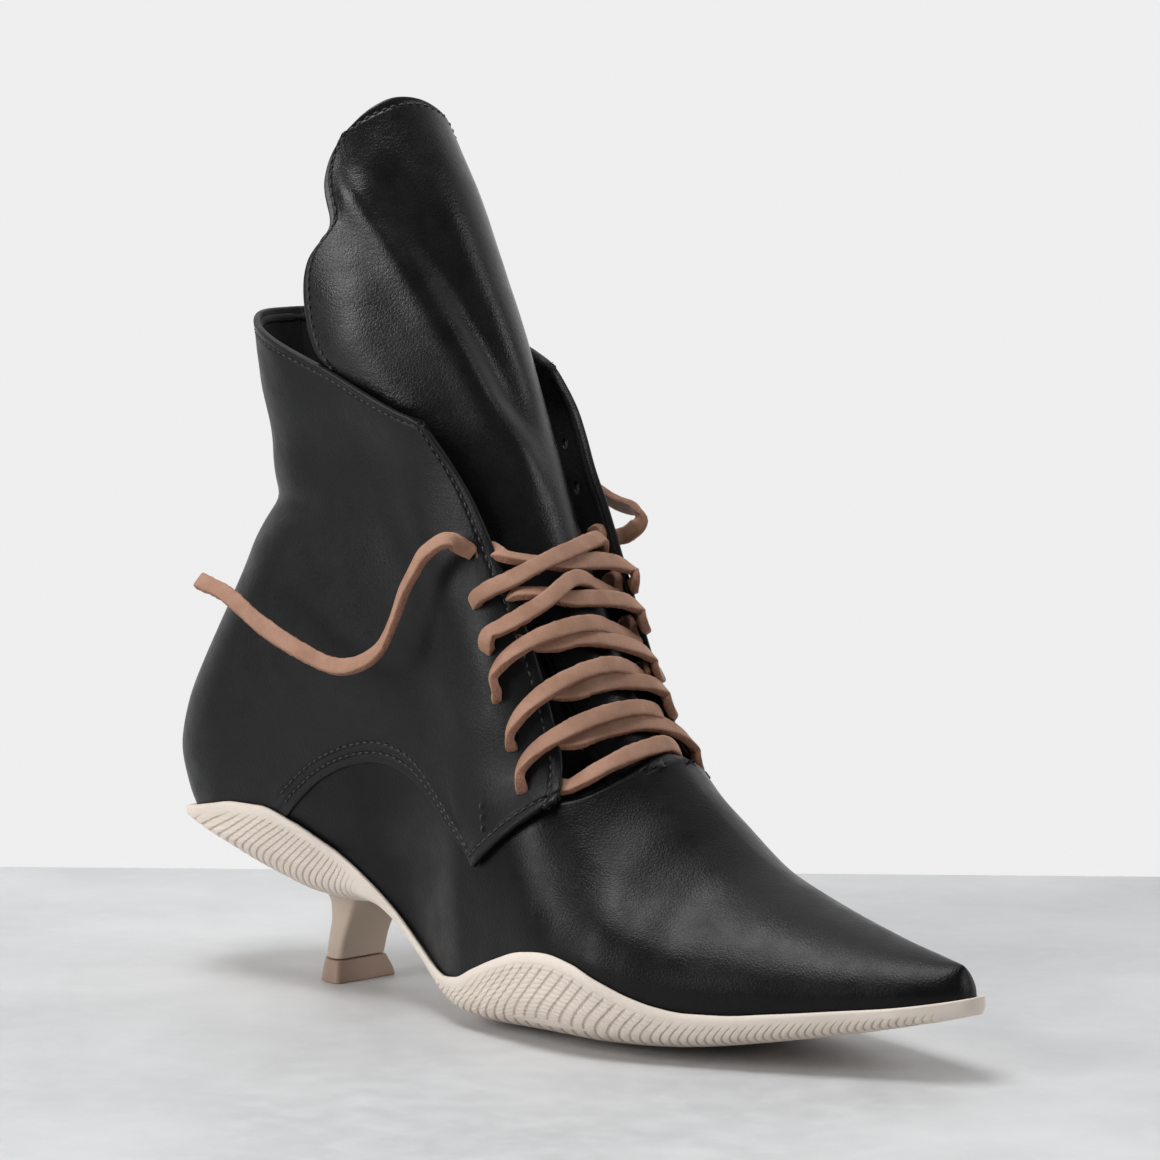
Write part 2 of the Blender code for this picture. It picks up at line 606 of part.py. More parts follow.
def build_outsole(coll, cutters, mat):
    xs = stations(SOLE_REAR + 0.02, SOLE_FRONT - 0.02, 30.0, TIP_START, 7.6)
    sole = new_object("outsole", loft([sole_section(x) for x in xs]), coll, mat)

    # room for the lasted upper: its own outer face, grown by the gap
    rear = tab(SHAFT, "back", "z", 46.0)
    secs = []
    for x in stations(rear + 0.05, tip_x(21.0) - 0.05, 30.0, TIP_START, 6.1):
        sec = []
        for side in (-1, 1):
            pts = []
            for z in [bed_z(x) - 0.15 + (edge_z(x, side) + 5.0 - bed_z(x)) * t for t in (0, 0.33, 0.66, 1.0)]:
                xi = min(max(x, tab(SHAFT, "back", "z", z) + 0.02), tip_x(z) - 0.02)
                pts.append((x, middle_y(xi, z) + side * (last_width(xi, z, side) + 1.25 * GAP), z))
            sec.append(pts)
        secs.append(sec[0] + sec[1][::-1])
    grow = [GAP * 1.3, GAP * 1.3]
    secs[0] = [(p[0] - grow[0], p[1], p[2]) for p in secs[0]]
    secs[-1] = [(p[0] + grow[1], p[1], p[2]) for p in secs[-1]]
    room = as_cutter(new_object("room_for_upper", loft(secs), cutters, None, False))
    boolean(sole, room, "DIFFERENCE")

    # heel stem, D-shaped, swept into the hull
    stem_secs = [d_section(STEM, z) for z in STEM["z"]]
    stem = as_cutter(new_object("heel_stem", loft(stem_secs), cutters, None, False))
    boolean(sole, stem, "UNION")
    return sole


def d_section(table, z, around=9):
    """Flat breast at the front, round back."""
    front, back, half = (tab(table, c, "z", z) for c in ("front", "back", "half"))
    r = 1.6
    pts = [(front, -half + r, z), (front, half - r, z), (front - r, half, z)]
    depth = (front - r) - back
    for k in range(1, around):
        a = k / around * math.pi
        pts.append((front - r - depth * math.sin(a) ** 0.9, half * math.cos(a), z))
    pts.append((front - r, -half, z))
    return pts


def build_top_piece(coll, mat):
    secs = [d_section(TREAD, z) for z in TREAD["z"]]
    return new_object("heel_top_piece", loft(secs), coll, mat, False)


def inner_width(x, z, side, gap):
    """Half width of the room inside the upper's wall, less a gap."""
    d = 0.8
    slope = (last_width(x + d, z, side) - last_width(x - d, z, side)) / (2 * d)
    return last_width(x, z, side) - (WALL + gap) * math.hypot(1.0, slope)


def build_insole(coll, mat):
    back = tab(SHAFT, "back", "z", 43.5) + WALL + 1.3
    end, tip = LENGTH - 8.5, 244.0
    secs = []
    for x in stations(back, end, 34.0, tip, 8.0):
        low, high = bed_z(x) + GAP, bed_z(x) + GAP + INSOLE_T
        sec = []
        for side in (-1, 1):
            xi = min(max(x, 34.0), tip)
            w = min(inner_width(xi, z, side, 2 * GAP) for z in (low, high)) - 0.25
            if x < 34.0:
                w *= max(0.0, 1 - ((34.0 - x) / (34.0 - back + 0.1)) ** 2.1) ** (1 / 2.0)
            if x > tip:
                w = (w - 0.5 * (x - tip)) * max(0.0, 1 - ((x - tip) / (end - tip + 0.2)) ** 2.2) ** (1 / 2.1)
            mid = middle_y(x, low)
            sec += [(x, mid + side * max(w, 0.4), low), (x, mid + side * max(w, 0.4), high)][::side]
        secs.append(sec)
    return new_object("insole", loft(secs), coll, mat)


def tongue_point(t, a):
    """Tongue's outer face: t up its length, a from -1 (outer side) to 1."""
    x, y, z = (tab(TONGUE, c, "t", t) for c in ("x", "y", "z"))
    x2, z2 = tab(TONGUE, "x", "t", t + 0.01), tab(TONGUE, "z", "t", t + 0.01)
    length = math.hypot(x2 - x, z2 - z)
    nx, nz = -(z2 - z) / length, (x2 - x) / length       # towards the shin
    half, sweep = tab(TONGUE, "half", "t", t), math.radians(tab(TONGUE, "sweep", "t", t))
    phi = a * sweep
    depth = half * (1 - math.cos(phi))
    px, pz = x + nx * depth, z + nz * depth
    return px, y + half * math.sin(phi), pz


def build_tongue(coll, mat, along=19, across=12):
    bm = bmesh.new()
    rows = [[bm.verts.new(to_m(*tongue_point(i / along, 2 * j / across - 1)))
             for j in range(across + 1)] for i in range(along + 1)]
    for a, b in zip(rows, rows[1:]):
        for j in range(across):
            bm.faces.new((a[j], a[j + 1], b[j + 1], b[j]))
    tongue = new_object("tongue", bm, coll, mat)
    thick = tongue.modifiers.new("leather", "SOLIDIFY")
    thick.thickness = TONGUE_T / 1000.0
    thick.offset = -1.0
    thick.use_even_offset = True
    return tongue


def build_laces(coll, mat):
    return new_object("laces", loft(ribbon(lace_route(), LACE_W, LACE_T)), coll, mat, False)


def build_lace_end(name, table, coll, mat, steps):
    """Free end of the thong: a plain round cord along its route."""
    keys = [tuple(row) for row in zip(table["x"], table["y"], table["z"])]
    first = vec(keys[0], vec(keys[1], keys[0], -1), -1.0)
    last = vec(keys[-1], vec(keys[-2], keys[-1], -1), -1.0)
    curve = bpy.data.curves.new(name, "CURVE")
    curve.dimensions = "3D"
    curve.bevel_depth = LACE_T / 2000.0
    curve.bevel_resolution = 2
    curve.use_fill_caps = True
    spline = curve.splines.new("POLY")
    pts = smooth_path([first] + keys + [last], steps)
    spline.points.add(len(pts) - 1)
    for point, p in zip(spline.points, pts):
        point.co = (*to_m(*p), 1.0)
    obj = bpy.data.objects.new(name, curve)
    coll.objects.link(obj)
    curve.materials.append(mat)
    return obj


def cut_lace_holes(upper, cutters):
    """A slot through the flap at each place where the thong passes."""
    bm = bmesh.new()
    for side in (-1, 1):
        for k in range(len(LACE_HOLE_Z)):
            here, out, forward, up = hole_frame(k, side)
            slot = bmesh.ops.create_cube(bm, size=1.0)["verts"]
            centre = to_m(*vec(vec(here, out, -WALL / 2), forward, 0.25))
            size = (LACE_T + 1.5, 4.5, LACE_W + 1.0)
            for v in slot:
                q = [c * s / 1000.0 for c, s in zip(v.co, size)]
                v.co = centre + Vector(forward) * q[0] + Vector(out) * q[1] + Vector(up) * q[2]
    bmesh.ops.recalc_face_normals(bm, faces=bm.faces)
    slots = as_cutter(new_object("lace_holes", bm, cutters, None, False))
    boolean(upper, slots, "DIFFERENCE")


def main():
    for obj in list(bpy.data.objects):
        bpy.data.objects.remove(obj, do_unlink=True)
    parts = collection(NODE_COLLECTION)
    cutters = collection("cutters")
    leather = material("black_leather", (0.018, 0.018, 0.020), 0.42)
    rubber = material("cream_rubber", (0.66, 0.56, 0.46), 0.60)
    tread = material("pink_beige_rubber", (0.56, 0.42, 0.34), 0.55)
    lining = material("dark_lining", (0.030, 0.030, 0.032), 0.75)
    tan = material("natural_leather", (0.62, 0.33, 0.20), 0.55)

    upper = build_upper(parts, leather)
    cut_lace_holes(upper, cutters)
    build_outsole(parts, cutters, rubber)
    build_top_piece(parts, tread)
    build_insole(parts, lining)
    build_tongue(parts, leather)
    build_laces(parts, tan)
    build_lace_end("lace_end_lateral", END_LATERAL, parts, tan, 22)
    build_lace_end("lace_end_medial", END_MEDIAL, parts, tan, 12)


if __name__ == "__main__":
    main()
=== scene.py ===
"""Looks of the pointed lace-up boot, right foot.

The shapes follow the same last as the solids: sizes are in millimetres from the
back of the heel, turned into metres by mm().  Side -1 is the outer side of the
foot, +1 the inner side.
"""
import math
import random
import bpy
import bmesh
import numpy as np
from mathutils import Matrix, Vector


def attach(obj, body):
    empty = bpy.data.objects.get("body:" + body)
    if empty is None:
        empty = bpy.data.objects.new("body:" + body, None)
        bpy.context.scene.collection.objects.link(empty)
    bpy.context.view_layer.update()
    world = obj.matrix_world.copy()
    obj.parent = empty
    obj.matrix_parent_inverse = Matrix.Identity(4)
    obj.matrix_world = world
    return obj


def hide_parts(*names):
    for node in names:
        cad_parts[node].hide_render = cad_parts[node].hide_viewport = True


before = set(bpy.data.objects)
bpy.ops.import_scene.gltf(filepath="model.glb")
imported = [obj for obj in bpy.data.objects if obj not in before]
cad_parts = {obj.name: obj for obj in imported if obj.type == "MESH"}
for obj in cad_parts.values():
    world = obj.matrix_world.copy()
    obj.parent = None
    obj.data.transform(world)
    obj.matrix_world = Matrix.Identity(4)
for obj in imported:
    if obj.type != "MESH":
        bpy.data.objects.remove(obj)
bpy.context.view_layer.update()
random.seed(7)

# ------------------------------------------------------------------ sizes, mm
LENGTH = 273.0            # heel seat to toe tip of the upper, along x
WALL = 2.0                # leather and lining together
GAP = 0.3                 # between neighbouring pieces
SOLE_LIP = 1.2            # rubber rim outside the upper, at its top edge
SOLE_REAR, SOLE_FRONT = 1.6, 275.6
TIP_START = 258.0         # where the plan of the toe starts to round off
TIP_Y = 6.0               # middle of the blunt tip
BED_GAP = 0.45            # upper's lower rim above the footbed
INSOLE_T = 2.5
TONGUE_T = 1.8
TREAD_TOP = 6.0           # height of the heel's top-piece
ORIGIN_X = 56.5           # middle of the top-piece, from the back of the heel
BALL_SKEW = 0.12          # the wave over the ball lies across the foot at a slant
LACE_W, LACE_T = 4.6, 2.2
HOLE_BACK = 10.0          # lace holes behind the flap's front edge
NODE_COLLECTION = "pointed_lace_up_boot"

# horizontal sections of heel, ankle and shaft, by height
SHAFT = dict(
 z      = [40.0, 46.0, 52.0, 61.0, 75.0, 90.0, 105.0, 120.0, 134.0, 146.0, 165.0, 190.0, 250.0],
 back   = [ 9.0,  6.0,  4.0,  2.5,  6.0, 13.2,  20.8,  28.2,  33.3,  34.0,  32.6,  30.8,  25.0],
 centre = [33.0, 33.0, 33.0, 33.0, 36.0, 41.0,  48.0,  56.0,  63.0,  65.0,  65.0,  65.0,  65.0],
 middle = [ 0.5,  0.5,  0.5,  0.5,  1.1,  2.8,   4.5,   5.8,   7.2,   7.0,   4.0,   2.6,   1.5],
 lat    = [23.5, 25.5, 27.5, 29.5, 31.5, 32.0,  31.5,  30.5,  29.5,  29.5,  31.0,  33.0,  36.0],
 med    = [22.5, 24.5, 26.5, 28.5, 30.0, 30.0,  29.0,  27.5,  26.5,  27.0,  29.0,  31.5,  35.0],
)
# cross sections of the foot, by distance from the heel
FOOT = dict(
 x       = [ 60.0,  84.0, 100.0, 115.0, 125.0, 138.0, 150.0, 163.0, 172.0, 183.0, 193.0, 204.0, 222.0, 236.0, 250.0, 262.0, 273.0],
 lat     = [ 27.0,  27.0,  28.5,  30.5,  32.0,  34.5,  37.0,  39.5,  40.5,  40.0,  37.5,  33.5,  26.0,  19.5,  12.5,   6.8,   2.0],
 med     = [ 24.0,  17.5,  15.5,  17.5,  20.5,  26.5,  32.0,  36.5,  38.5,  38.5,  37.0,  34.5,  29.0,  24.5,  19.5,  15.5,  12.5],
 lat_up  = [ 30.0,  30.5, 31.0, 32.0, 33.0, 35.0, 37.0, 39.5, 40.5, 40.0, 37.5, 33.5, 26.0, 19.5, 12.5,  6.8,  2.0],
 med_up  = [ 28.5,  28.0, 27.8, 27.8, 28.2, 29.8, 32.5, 36.5, 38.5, 38.5, 37.0, 34.5, 29.0, 24.5, 19.5, 15.5, 12.5],
 ridge_y = [  0.0,   1.0,   2.0,   3.0,   3.5,   4.5,   5.5,   6.5,   7.0,   7.5,   8.0,   8.0,   8.0,   8.0,   7.0,   6.3,   6.0],
 ridge_z = [600.0, 440.0, 330.0, 240.0, 198.0, 150.0, 110.0,  83.0,  71.5,  61.5,  53.5,  46.8,  39.8,  35.8,  32.5,  30.4,  28.2],
 side_z  = [ 70.0,  55.0,  45.0,  36.0,  32.0,  29.0,  27.0,  26.0,  25.0,  24.0,  22.0,  20.0,  19.0,  19.0,  20.0,  21.0,  21.8],
)
# rubber sole: top edge, footbed and underside, by distance from the heel
SOLE = dict(
 x      = [  2.0,  8.0, 17.0, 28.0, 38.0, 48.0, 59.0, 72.0, 80.0, 87.0, 100.0, 110.0, 118.0, 125.0, 133.0, 142.0, 153.0, 165.0, 175.0, 184.0, 192.0, 200.0, 207.0, 214.0, 222.0, 234.0, 246.0, 258.0, 268.0, 276.0],
 edge   = [ 44.0, 45.0, 46.5, 48.5, 50.0, 50.0, 47.0, 41.0, 36.8, 32.6,  24.5,  18.2,  14.0,  12.3,  13.2,  16.8,  21.0,  24.6,  25.6,  24.0,  20.5,  17.0,  14.8,  13.8,  13.9,  15.2,  16.8,  18.3,  20.0,  21.6],
 bed    = [ 42.5, 43.0, 44.0, 45.5, 46.5, 46.0, 43.5, 38.0, 34.0, 30.0,  21.5,  15.5,  11.3,   8.8,   7.3,   6.6,   6.4,   6.4,   6.5,   6.8,   7.2,   7.9,   8.7,   9.6,  10.6,  12.2,  13.9,  15.6,  17.4,  19.2],
 bottom = [ 41.5, 41.7, 39.2, 32.4, 27.6, 25.2, 23.6, 23.8, 25.0, 24.6,  18.5,  11.5,   5.8,   2.4,   0.4,  -0.4,  -0.4,  -0.4,  -0.4,   0.3,   0.9,   1.8,   2.8,   3.9,   5.3,   7.5,   9.9,  12.6,  15.0,  17.2],
)
# roundness of the sole's cross section: spread > 1 is a hull, < 1 is boxy
HULL = dict(
 x      = [  2.0, 30.0, 55.0, 75.0, 95.0, 120.0, 135.0, 160.0, 190.0, 215.0, 276.0],
 spread = [ 1.30, 1.20, 0.95, 0.65, 0.45,  0.45,  0.55,  0.60,  0.55,  0.40,  0.35],
 drop   = [ 1.60, 1.60, 1.30, 1.03, 1.06,  1.06,  1.04,  1.03,  1.04,  1.07,  1.08],
 lip    = [  0.8,  1.6,  2.4,  2.5,  2.0,   2.0,   2.0,   3.0,   3.0,   2.0,   1.5],
)
# heel stem, by height: front and back along x, half width
STEM = dict(
 z     = [ 6.3, 12.0, 17.0, 21.0, 24.5, 28.0, 32.0],
 front = [60.8, 62.4, 64.6, 66.8, 69.5, 73.5, 80.0],
 back  = [50.7, 51.7, 52.6, 52.4, 50.8, 47.0, 41.0],
 half  = [ 8.9,  8.9,  9.1,  9.8, 11.2, 14.0, 18.0],
)
TREAD = dict(
 z     = [ 0.0,  0.8,  6.0],
 front = [62.6, 62.5, 61.0],
 back  = [49.8, 49.9, 50.6],
 half  = [11.4, 11.3,  9.4],
)
# front edge of the two facing flaps, by height
FLAP = dict(
 z     = [ 62.0, 76.0, 91.0, 108.0, 122.0, 137.0, 150.0, 160.0, 170.0],
 x_lat = [161.5,157.5,151.5, 144.0, 136.5, 128.5, 120.0, 113.5, 107.0],
 x_med = [161.5,158.0,152.0, 144.5, 138.0, 131.0, 122.5, 114.5, 106.0],
 y_lat = [ 24.0, 23.0, 22.5,  22.5,  23.0,  24.5,  27.0,  29.5,  30.5],
 y_med = [ 24.0, 23.0, 22.5,  22.5,  23.0,  24.0,  26.0,  28.0,  29.0],
)
FLAP_FLARE = 34.0          # the flap turns outward over this width
# collar, by distance from the heel
COLLAR = dict(
 x     = [ 28.0, 32.0, 45.0, 60.0, 75.0, 90.0, 102.0, 113.0, 120.0],
 z_lat = [184.0,184.0,180.5,176.0,171.0,165.5, 161.5, 158.5, 157.0],
 z_med = [184.0,184.0,183.5,182.0,179.5,176.0, 172.0, 168.0, 165.0],
)
COLLAR_CORNER = {-1: 114.0, 1: 107.0}
THROAT = (172.0, 71.5)     # x, z of the vamp's top edge on the ridge
# tongue: front line and section, from under the throat up to its tip
TONGUE = dict(
 t      = [0.00, 0.10, 0.22, 0.36, 0.50, 0.62, 0.72, 0.82, 0.92, 1.00],
 x      = [186.0,171.4,158.0,147.0,136.5,127.0,118.5,109.5, 99.0, 86.0],
 z      = [ 53.6, 64.6, 82.0,105.0,128.0,151.0,171.0,193.0,217.0,240.0],
 y      = [  7.0,  6.0,  4.0,  2.5,  1.8,  1.8,  1.6,  1.0,  0.5,  0.0],
 half   = [ 12.0, 14.0, 15.0, 15.6, 16.6, 18.8, 22.0, 26.0, 26.5, 20.0],
 sweep  = [ 60.0, 60.0, 62.0, 68.0, 78.0, 88.0, 98.0,104.0, 94.0, 45.0],
)
LACE_HOLE_Z = [66.0, 77.5, 89.5, 101.5, 113.0, 125.0]


# ------------------------------------------------------------- small functions
def pchip(xs, ys, x):
    """Smooth curve through a table, without overshoot."""
    n = len(xs)
    if x <= xs[0]:
        return ys[0] + (x - xs[0]) * (ys[1] - ys[0]) / (xs[1] - xs[0])
    if x >= xs[-1]:
        return ys[-1] + (x - xs[-1]) * (ys[-1] - ys[-2]) / (xs[-1] - xs[-2])
    i = 0
    while xs[i + 1] < x:
        i += 1
    h = [xs[k + 1] - xs[k] for k in range(n - 1)]
    d = [(ys[k + 1] - ys[k]) / h[k] for k in range(n - 1)]

    def slope(k):
        if k == 0:
            return d[0]
        if k == n - 1:
            return d[-1]
        if d[k - 1] * d[k] <= 0:
            return 0.0
        w1, w2 = 2 * h[k] + h[k - 1], h[k] + 2 * h[k - 1]
        return (w1 + w2) / (w1 / d[k - 1] + w2 / d[k])

    m0, m1, t = slope(i), slope(i + 1), (x - xs[i]) / h[i]
    return ((2 * t**3 - 3 * t * t + 1) * ys[i] + (t**3 - 2 * t * t + t) * h[i] * m0
            + (-2 * t**3 + 3 * t * t) * ys[i + 1] + (t**3 - t * t) * h[i] * m1)


_fast = {}


def tab(table, column, key, x):
    """A column of a table at x, from a dense copy of its smooth curve."""
    name = (id(table), column)
    found = _fast.get(name)
    if found is None:
        xs, ys = table[key], table[column]
        count = 1200
        step = (xs[-1] - xs[0]) / count
        found = _fast[name] = (xs[0], step, count, [pchip(xs, ys, xs[0] + k * step) for k in range(count + 1)], xs, ys)
    low, step, count, values, xs, ys = found
    k = (x - low) / step
    if k <= 0 or k >= count:
        return pchip(xs, ys, x)
    i = int(k)
    return values[i] + (values[i + 1] - values[i]) * (k - i)


def smooth(a, b, x):
    t = min(1.0, max(0.0, (x - a) / (b - a)))
    return t * t * (3 - 2 * t)


def lerp(a, b, t):
    return a + (b - a) * t


def side_col(side):
    return "lat" if side < 0 else "med"


def middle_y(x, z):
    """The last's middle line: shaft and ankle lean inward, the ridge curves."""
    zc = min(max(z, 40.0), 250.0)
    shaft = tab(SHAFT, "middle", "z", zc)
    ridge = tab(FOOT, "ridge_y", "x", min(x, 273.0))
    return lerp(shaft, ridge, smooth(42.0, 125.0, x))


def tip_x(z):
    return LENGTH - 0.045 * max(0.0, z - 21.0) ** 2


def waist_rise(x, z):
    """0 at the sole's edge, where the waist draws in, 1 well above it."""
    low = tab(SOLE, "edge", "x", x) - 1.0
    return smooth(low, low + 30.0, z)


def last_width(x, z, side):
    """Half width of the upper's outer face from the middle line."""
    col = side_col(side)
    blend = smooth(88.0, 132.0, x)
    shaft = foot = 0.0
    if blend < 1.0:
        zc = min(max(z, 40.0), 250.0)
        back, cx = tab(SHAFT, "back", "z", zc), tab(SHAFT, "centre", "z", zc)
        wide = tab(SHAFT, col, "z", zc)
        if x < cx:
            u = min(1.0, max(0.0, (cx - x) / (cx - back)))
            shaft = wide * (1 - u ** 2.15) ** (1 / 2.15)
        else:
            shaft = wide * (1 - 0.04 * ((x - cx) / 50.0) ** 2)
            waist = tab(FOOT, col, "x", x) - side * tab(SHAFT, "middle", "z", zc)
            low = (1 - waist_rise(x, z)) * smooth(50.0, 84.0, x)
            shaft = lerp(shaft, min(shaft, waist), low)
    if blend > 0.0:
        xx = min(x, LENGTH)
        ridge = tab(FOOT, "ridge_y", "x", xx)
        wide = lerp(tab(FOOT, col, "x", xx), tab(FOOT, col + "_up", "x", xx), waist_rise(x, z)) - side * ridge
        zs, zr = tab(FOOT, "side_z", "x", xx), tab(FOOT, "ridge_z", "x", xx)
        if z > zs:
            q = min(1.0, (z - zs) / (zr - zs))
            power = lerp(lerp(1.9, 1.5, smooth(148.0, 180.0, xx)), 1.62, smooth(195.0, 225.0, xx))
            root = lerp(lerp(2.0, 1.68, smooth(148.0, 180.0, xx)), 1.88, smooth(195.0, 225.0, xx))
            foot = wide * max(0.0, 1 - q ** power) ** (1 / root)
        else:
            q = (zs - z) / max(1.0, zs - tab(SOLE, "bed", "x", xx))
            foot = wide * (1 - 0.05 * min(1.2, q) ** 2)
        if x > TIP_START:
            u = min(1.0, (x - TIP_START) / (tip_x(z) - TIP_START))
            foot *= max(0.0, 1 - u ** 2.6) ** (1 / 2.3)
    return lerp(shaft, foot, blend)


def flap_flare(x, z, side):
    """Outward turn of the facing flaps, zero away from their front edge."""
    if z < 58.0 or x > 175.0:
        return 0.0
    zf = max(62.0, min(z, 170.0))
    edge = tab(FLAP, "x_" + side_col(side), "z", zf)
    want = tab(FLAP, "y_" + side_col(side), "z", zf)
    have = last_width(edge, zf, side) + side * middle_y(edge, zf)
    near = smooth(edge - FLAP_FLARE, edge, x) * (1 - smooth(edge, edge + 8.0, x))
    return (want - have) * near * smooth(58.0, 82.0, z)


def upper_y(x, z, side, grow=0.0):
    return middle_y(x, z) + side * (last_width(x, z, side) + flap_flare(x, z, side) + grow)


def edge_z(x, side):
    """Top edge of the rubber sole."""
    y = tab(FOOT, side_col(side), "x", max(60.0, min(x, 273.0))) * side
    return tab(SOLE, "edge", "x", x - BALL_SKEW * y * smooth(80.0, 110.0, x) * (1 - smooth(225.0, 255.0, x)))


def bed_z(x):
    return tab(SOLE, "bed", "x", x)


def keel_z(x):
    return tab(SOLE, "bottom", "x", x)


def top_point(s, side):
    """Top line of the upper in side view: collar, flap, throat, ridge."""
    col = side_col(side)
    corner_x = COLLAR_CORNER[side]
    corner_z = tab(COLLAR, "z_" + col, "x", corner_x)
    if s <= 0.30:
        u = 1 - math.cos(s / 0.30 * math.pi / 2)
        x = lerp(tab(SHAFT, "back", "z", 184.0), corner_x, u)
        return x, tab(COLLAR, "z_" + col, "x", x)
    if s <= 0.62:
        z = lerp(corner_z, 62.0, (s - 0.30) / 0.32)
        return tab(FLAP, "x_" + col, "z", z) - (tab(FLAP, "x_" + col, "z", corner_z) - corner_x) * smooth(140.0, corner_z, z), z
    if s <= 0.68:
        a = (s - 0.62) / 0.06 * math.pi / 2
        return lerp(161.5, THROAT[0], math.sin(a)), lerp(THROAT[1], 62.0, max(0.0, math.cos(a)) ** 1.3)
    u = math.sin((s - 0.68) / 0.32 * math.pi / 2)
    x = lerp(THROAT[0], LENGTH - 2.6, u)
    return x, tab(FOOT, "ridge_z", "x", x)


def foot_point(s, side, lift):
    """Bottom line of the upper in side view, lift above the footbed."""
    rear = tab(SHAFT, "back", "z", bed_z(6.0) + lift)
    if s <= 0.30:
        x = lerp(rear, 64.0, 1 - math.cos(s / 0.30 * math.pi / 2))
    elif s <= 0.62:
        x = lerp(64.0, 152.0, (s - 0.30) / 0.32)
    elif s <= 0.68:
        x = lerp(152.0, 163.0, (s - 0.62) / 0.06)
    else:
        x = lerp(163.0, LENGTH, math.sin((s - 0.68) / 0.32 * math.pi / 2))
    return x, bed_z(min(x, 272.0)) + lift


def upper_point(s, v, side, lift=BED_GAP, grow=0.0):
    """The upper's outer face: s from back seam to toe, v from sole to top line."""
    (xb, zb), (xt, zt) = foot_point(s, side, lift), top_point(s, side)
    bend = smooth(0.58, 0.72, s)
    vz = lerp(v, math.sin(v * math.pi / 2), bend)
    z = lerp(zb, zt, vz)
    x = lerp(xb, xt, vz)
    heel = 1 - smooth(0.0, 0.34, s)
    back = tab(SHAFT, "back", "z", z)
    straight = lerp(tab(SHAFT, "back", "z", zb), tab(SHAFT, "back", "z", zt), vz)
    x += heel * (back - straight)
    if s < 1e-6:
        return back, middle_y(back, z), z
    if s > 1 - 1e-6:
        x = tip_x(z)
        return x, middle_y(x, z), z
    if v > 1 - 1e-6 and s >= 0.68 - 1e-6:
        return x, middle_y(x, z), z
    return x, upper_y(x, z, side, grow), z


# ------------------------------------------------------------------- the lace
LACE_UP = (-0.39, 0.0, 0.92)       # the way up along the flaps' front edges
LACE_TURN = WALL / 2 + 1.0 + LACE_T / 2


def vec(a, b, k=1.0):
    return tuple(p + k * q for p, q in zip(a, b))


def unit(a):
    size = math.sqrt(sum(c * c for c in a)) or 1.0
    return tuple(c / size for c in a)


def cross(a, b):
    return (a[1] * b[2] - a[2] * b[1], a[2] * b[0] - a[0] * b[2], a[0] * b[1] - a[1] * b[0])


def hole_frame(k, side):
    """Lace hole k on one flap: point on the outer face, outward, forward."""
    z = LACE_HOLE_Z[k]
    x = tab(FLAP, "x_" + side_col(side), "z", z) - HOLE_BACK
    here = (x, upper_y(x, z, side), z)
    ahead = (x + 1.0, upper_y(x + 1.0, z, side), z)
    above = (x, upper_y(x, z + 1.0, side), z + 1.0)
    out = unit(cross(vec(ahead, here, -1), vec(above, here, -1)))
    if out[1] * side < 0:
        out = tuple(-c for c in out)
    up = unit(vec(LACE_UP, out, -sum(a * b for a, b in zip(LACE_UP, out))))
    forward = cross(up, out) if cross(up, out)[0] > 0 else cross(out, up)
    return here, out, unit(forward), up


def hole_turn(k, side, steps=4):
    """Arc through the flap, from its inner face round to its outer face."""
    here, out, forward, _ = hole_frame(k, side)
    centre = vec(vec(here, out, -WALL / 2), forward, LACE_TURN)
    pts = []
    for i in range(steps + 1):
        a = math.radians(-90 + 180 * i / steps)
        pts.append(vec(vec(centre, out, LACE_TURN * math.sin(a)), forward, -LACE_TURN * math.cos(a)))
    return pts


def front_x(z):
    """Front of the tongue at a height, on its middle."""
    lo, hi = 0.0, 1.0
    for _ in range(30):
        mid = (lo + hi) / 2
        if tab(TONGUE, "z", "t", mid) < z:
            lo = mid
        else:
            hi = mid
    return tab(TONGUE, "x", "t", lo)


def off_wall(x, z, side, off):
    """A point beside the flap: off > 0 outside it, off < 0 inside it."""
    shift = off if off > 0 else off - WALL
    slope = (upper_y(x + 1, z, side) - upper_y(x - 1, z, side)) / 2
    return (x, upper_y(x, z, side) + side * shift * math.hypot(1.0, slope), z)


# a crossing from hole k of one flap to hole k + 1 of the other, by height
# above hole k: at the near edge, at both sides of the middle, at the far edge
RISE = dict(near_edge=6.5, near_mid=12.5, far_mid=15.0, far_edge=14.5)
STAND = {-1: 6.4, 1: 3.0}          # the outer side's strand lies on top


def crossing(k, side, steps=16):
    """From hole k's outer face over the throat to under the other flap."""
    start, end = hole_turn(k, side)[-1], hole_turn(k + 1, -side)[0]
    f0, f1 = hole_frame(k, side)[2], hole_frame(k + 1, -side)[2]
    z = LACE_HOLE_Z[k]
    za, zb, zc, zd = (z + RISE[n] for n in ("near_edge", "near_mid", "far_mid", "far_edge"))
    edge_a = tab(FLAP, "x_" + side_col(side), "z", za)
    edge_d = tab(FLAP, "x_" + side_col(-side), "z", zd)
    mid = middle_y(150.0, z) * 0.4
    keys = [vec(start, f0, -5.0), start,
            off_wall(edge_a - 3.5, lerp(z, za, 0.6), side, 3.0),
            (edge_a + 4.2, side * (tab(FLAP, "y_" + side_col(side), "z", za) + 0.6), za),
            (front_x(zb) + STAND[side], mid + side * 8.0, zb),
            (front_x(zc) + STAND[side], mid - side * 8.0, zc),
            (edge_d + 0.8, -side * (tab(FLAP, "y_" + side_col(-side), "z", zd) - WALL - 3.6), zd),
            off_wall(edge_d - 3.5, lerp(zd, z + 11.5, 0.4), -side, -3.0),
            end, vec(end, f1, -5.0)]
    return smooth_path(keys, steps)


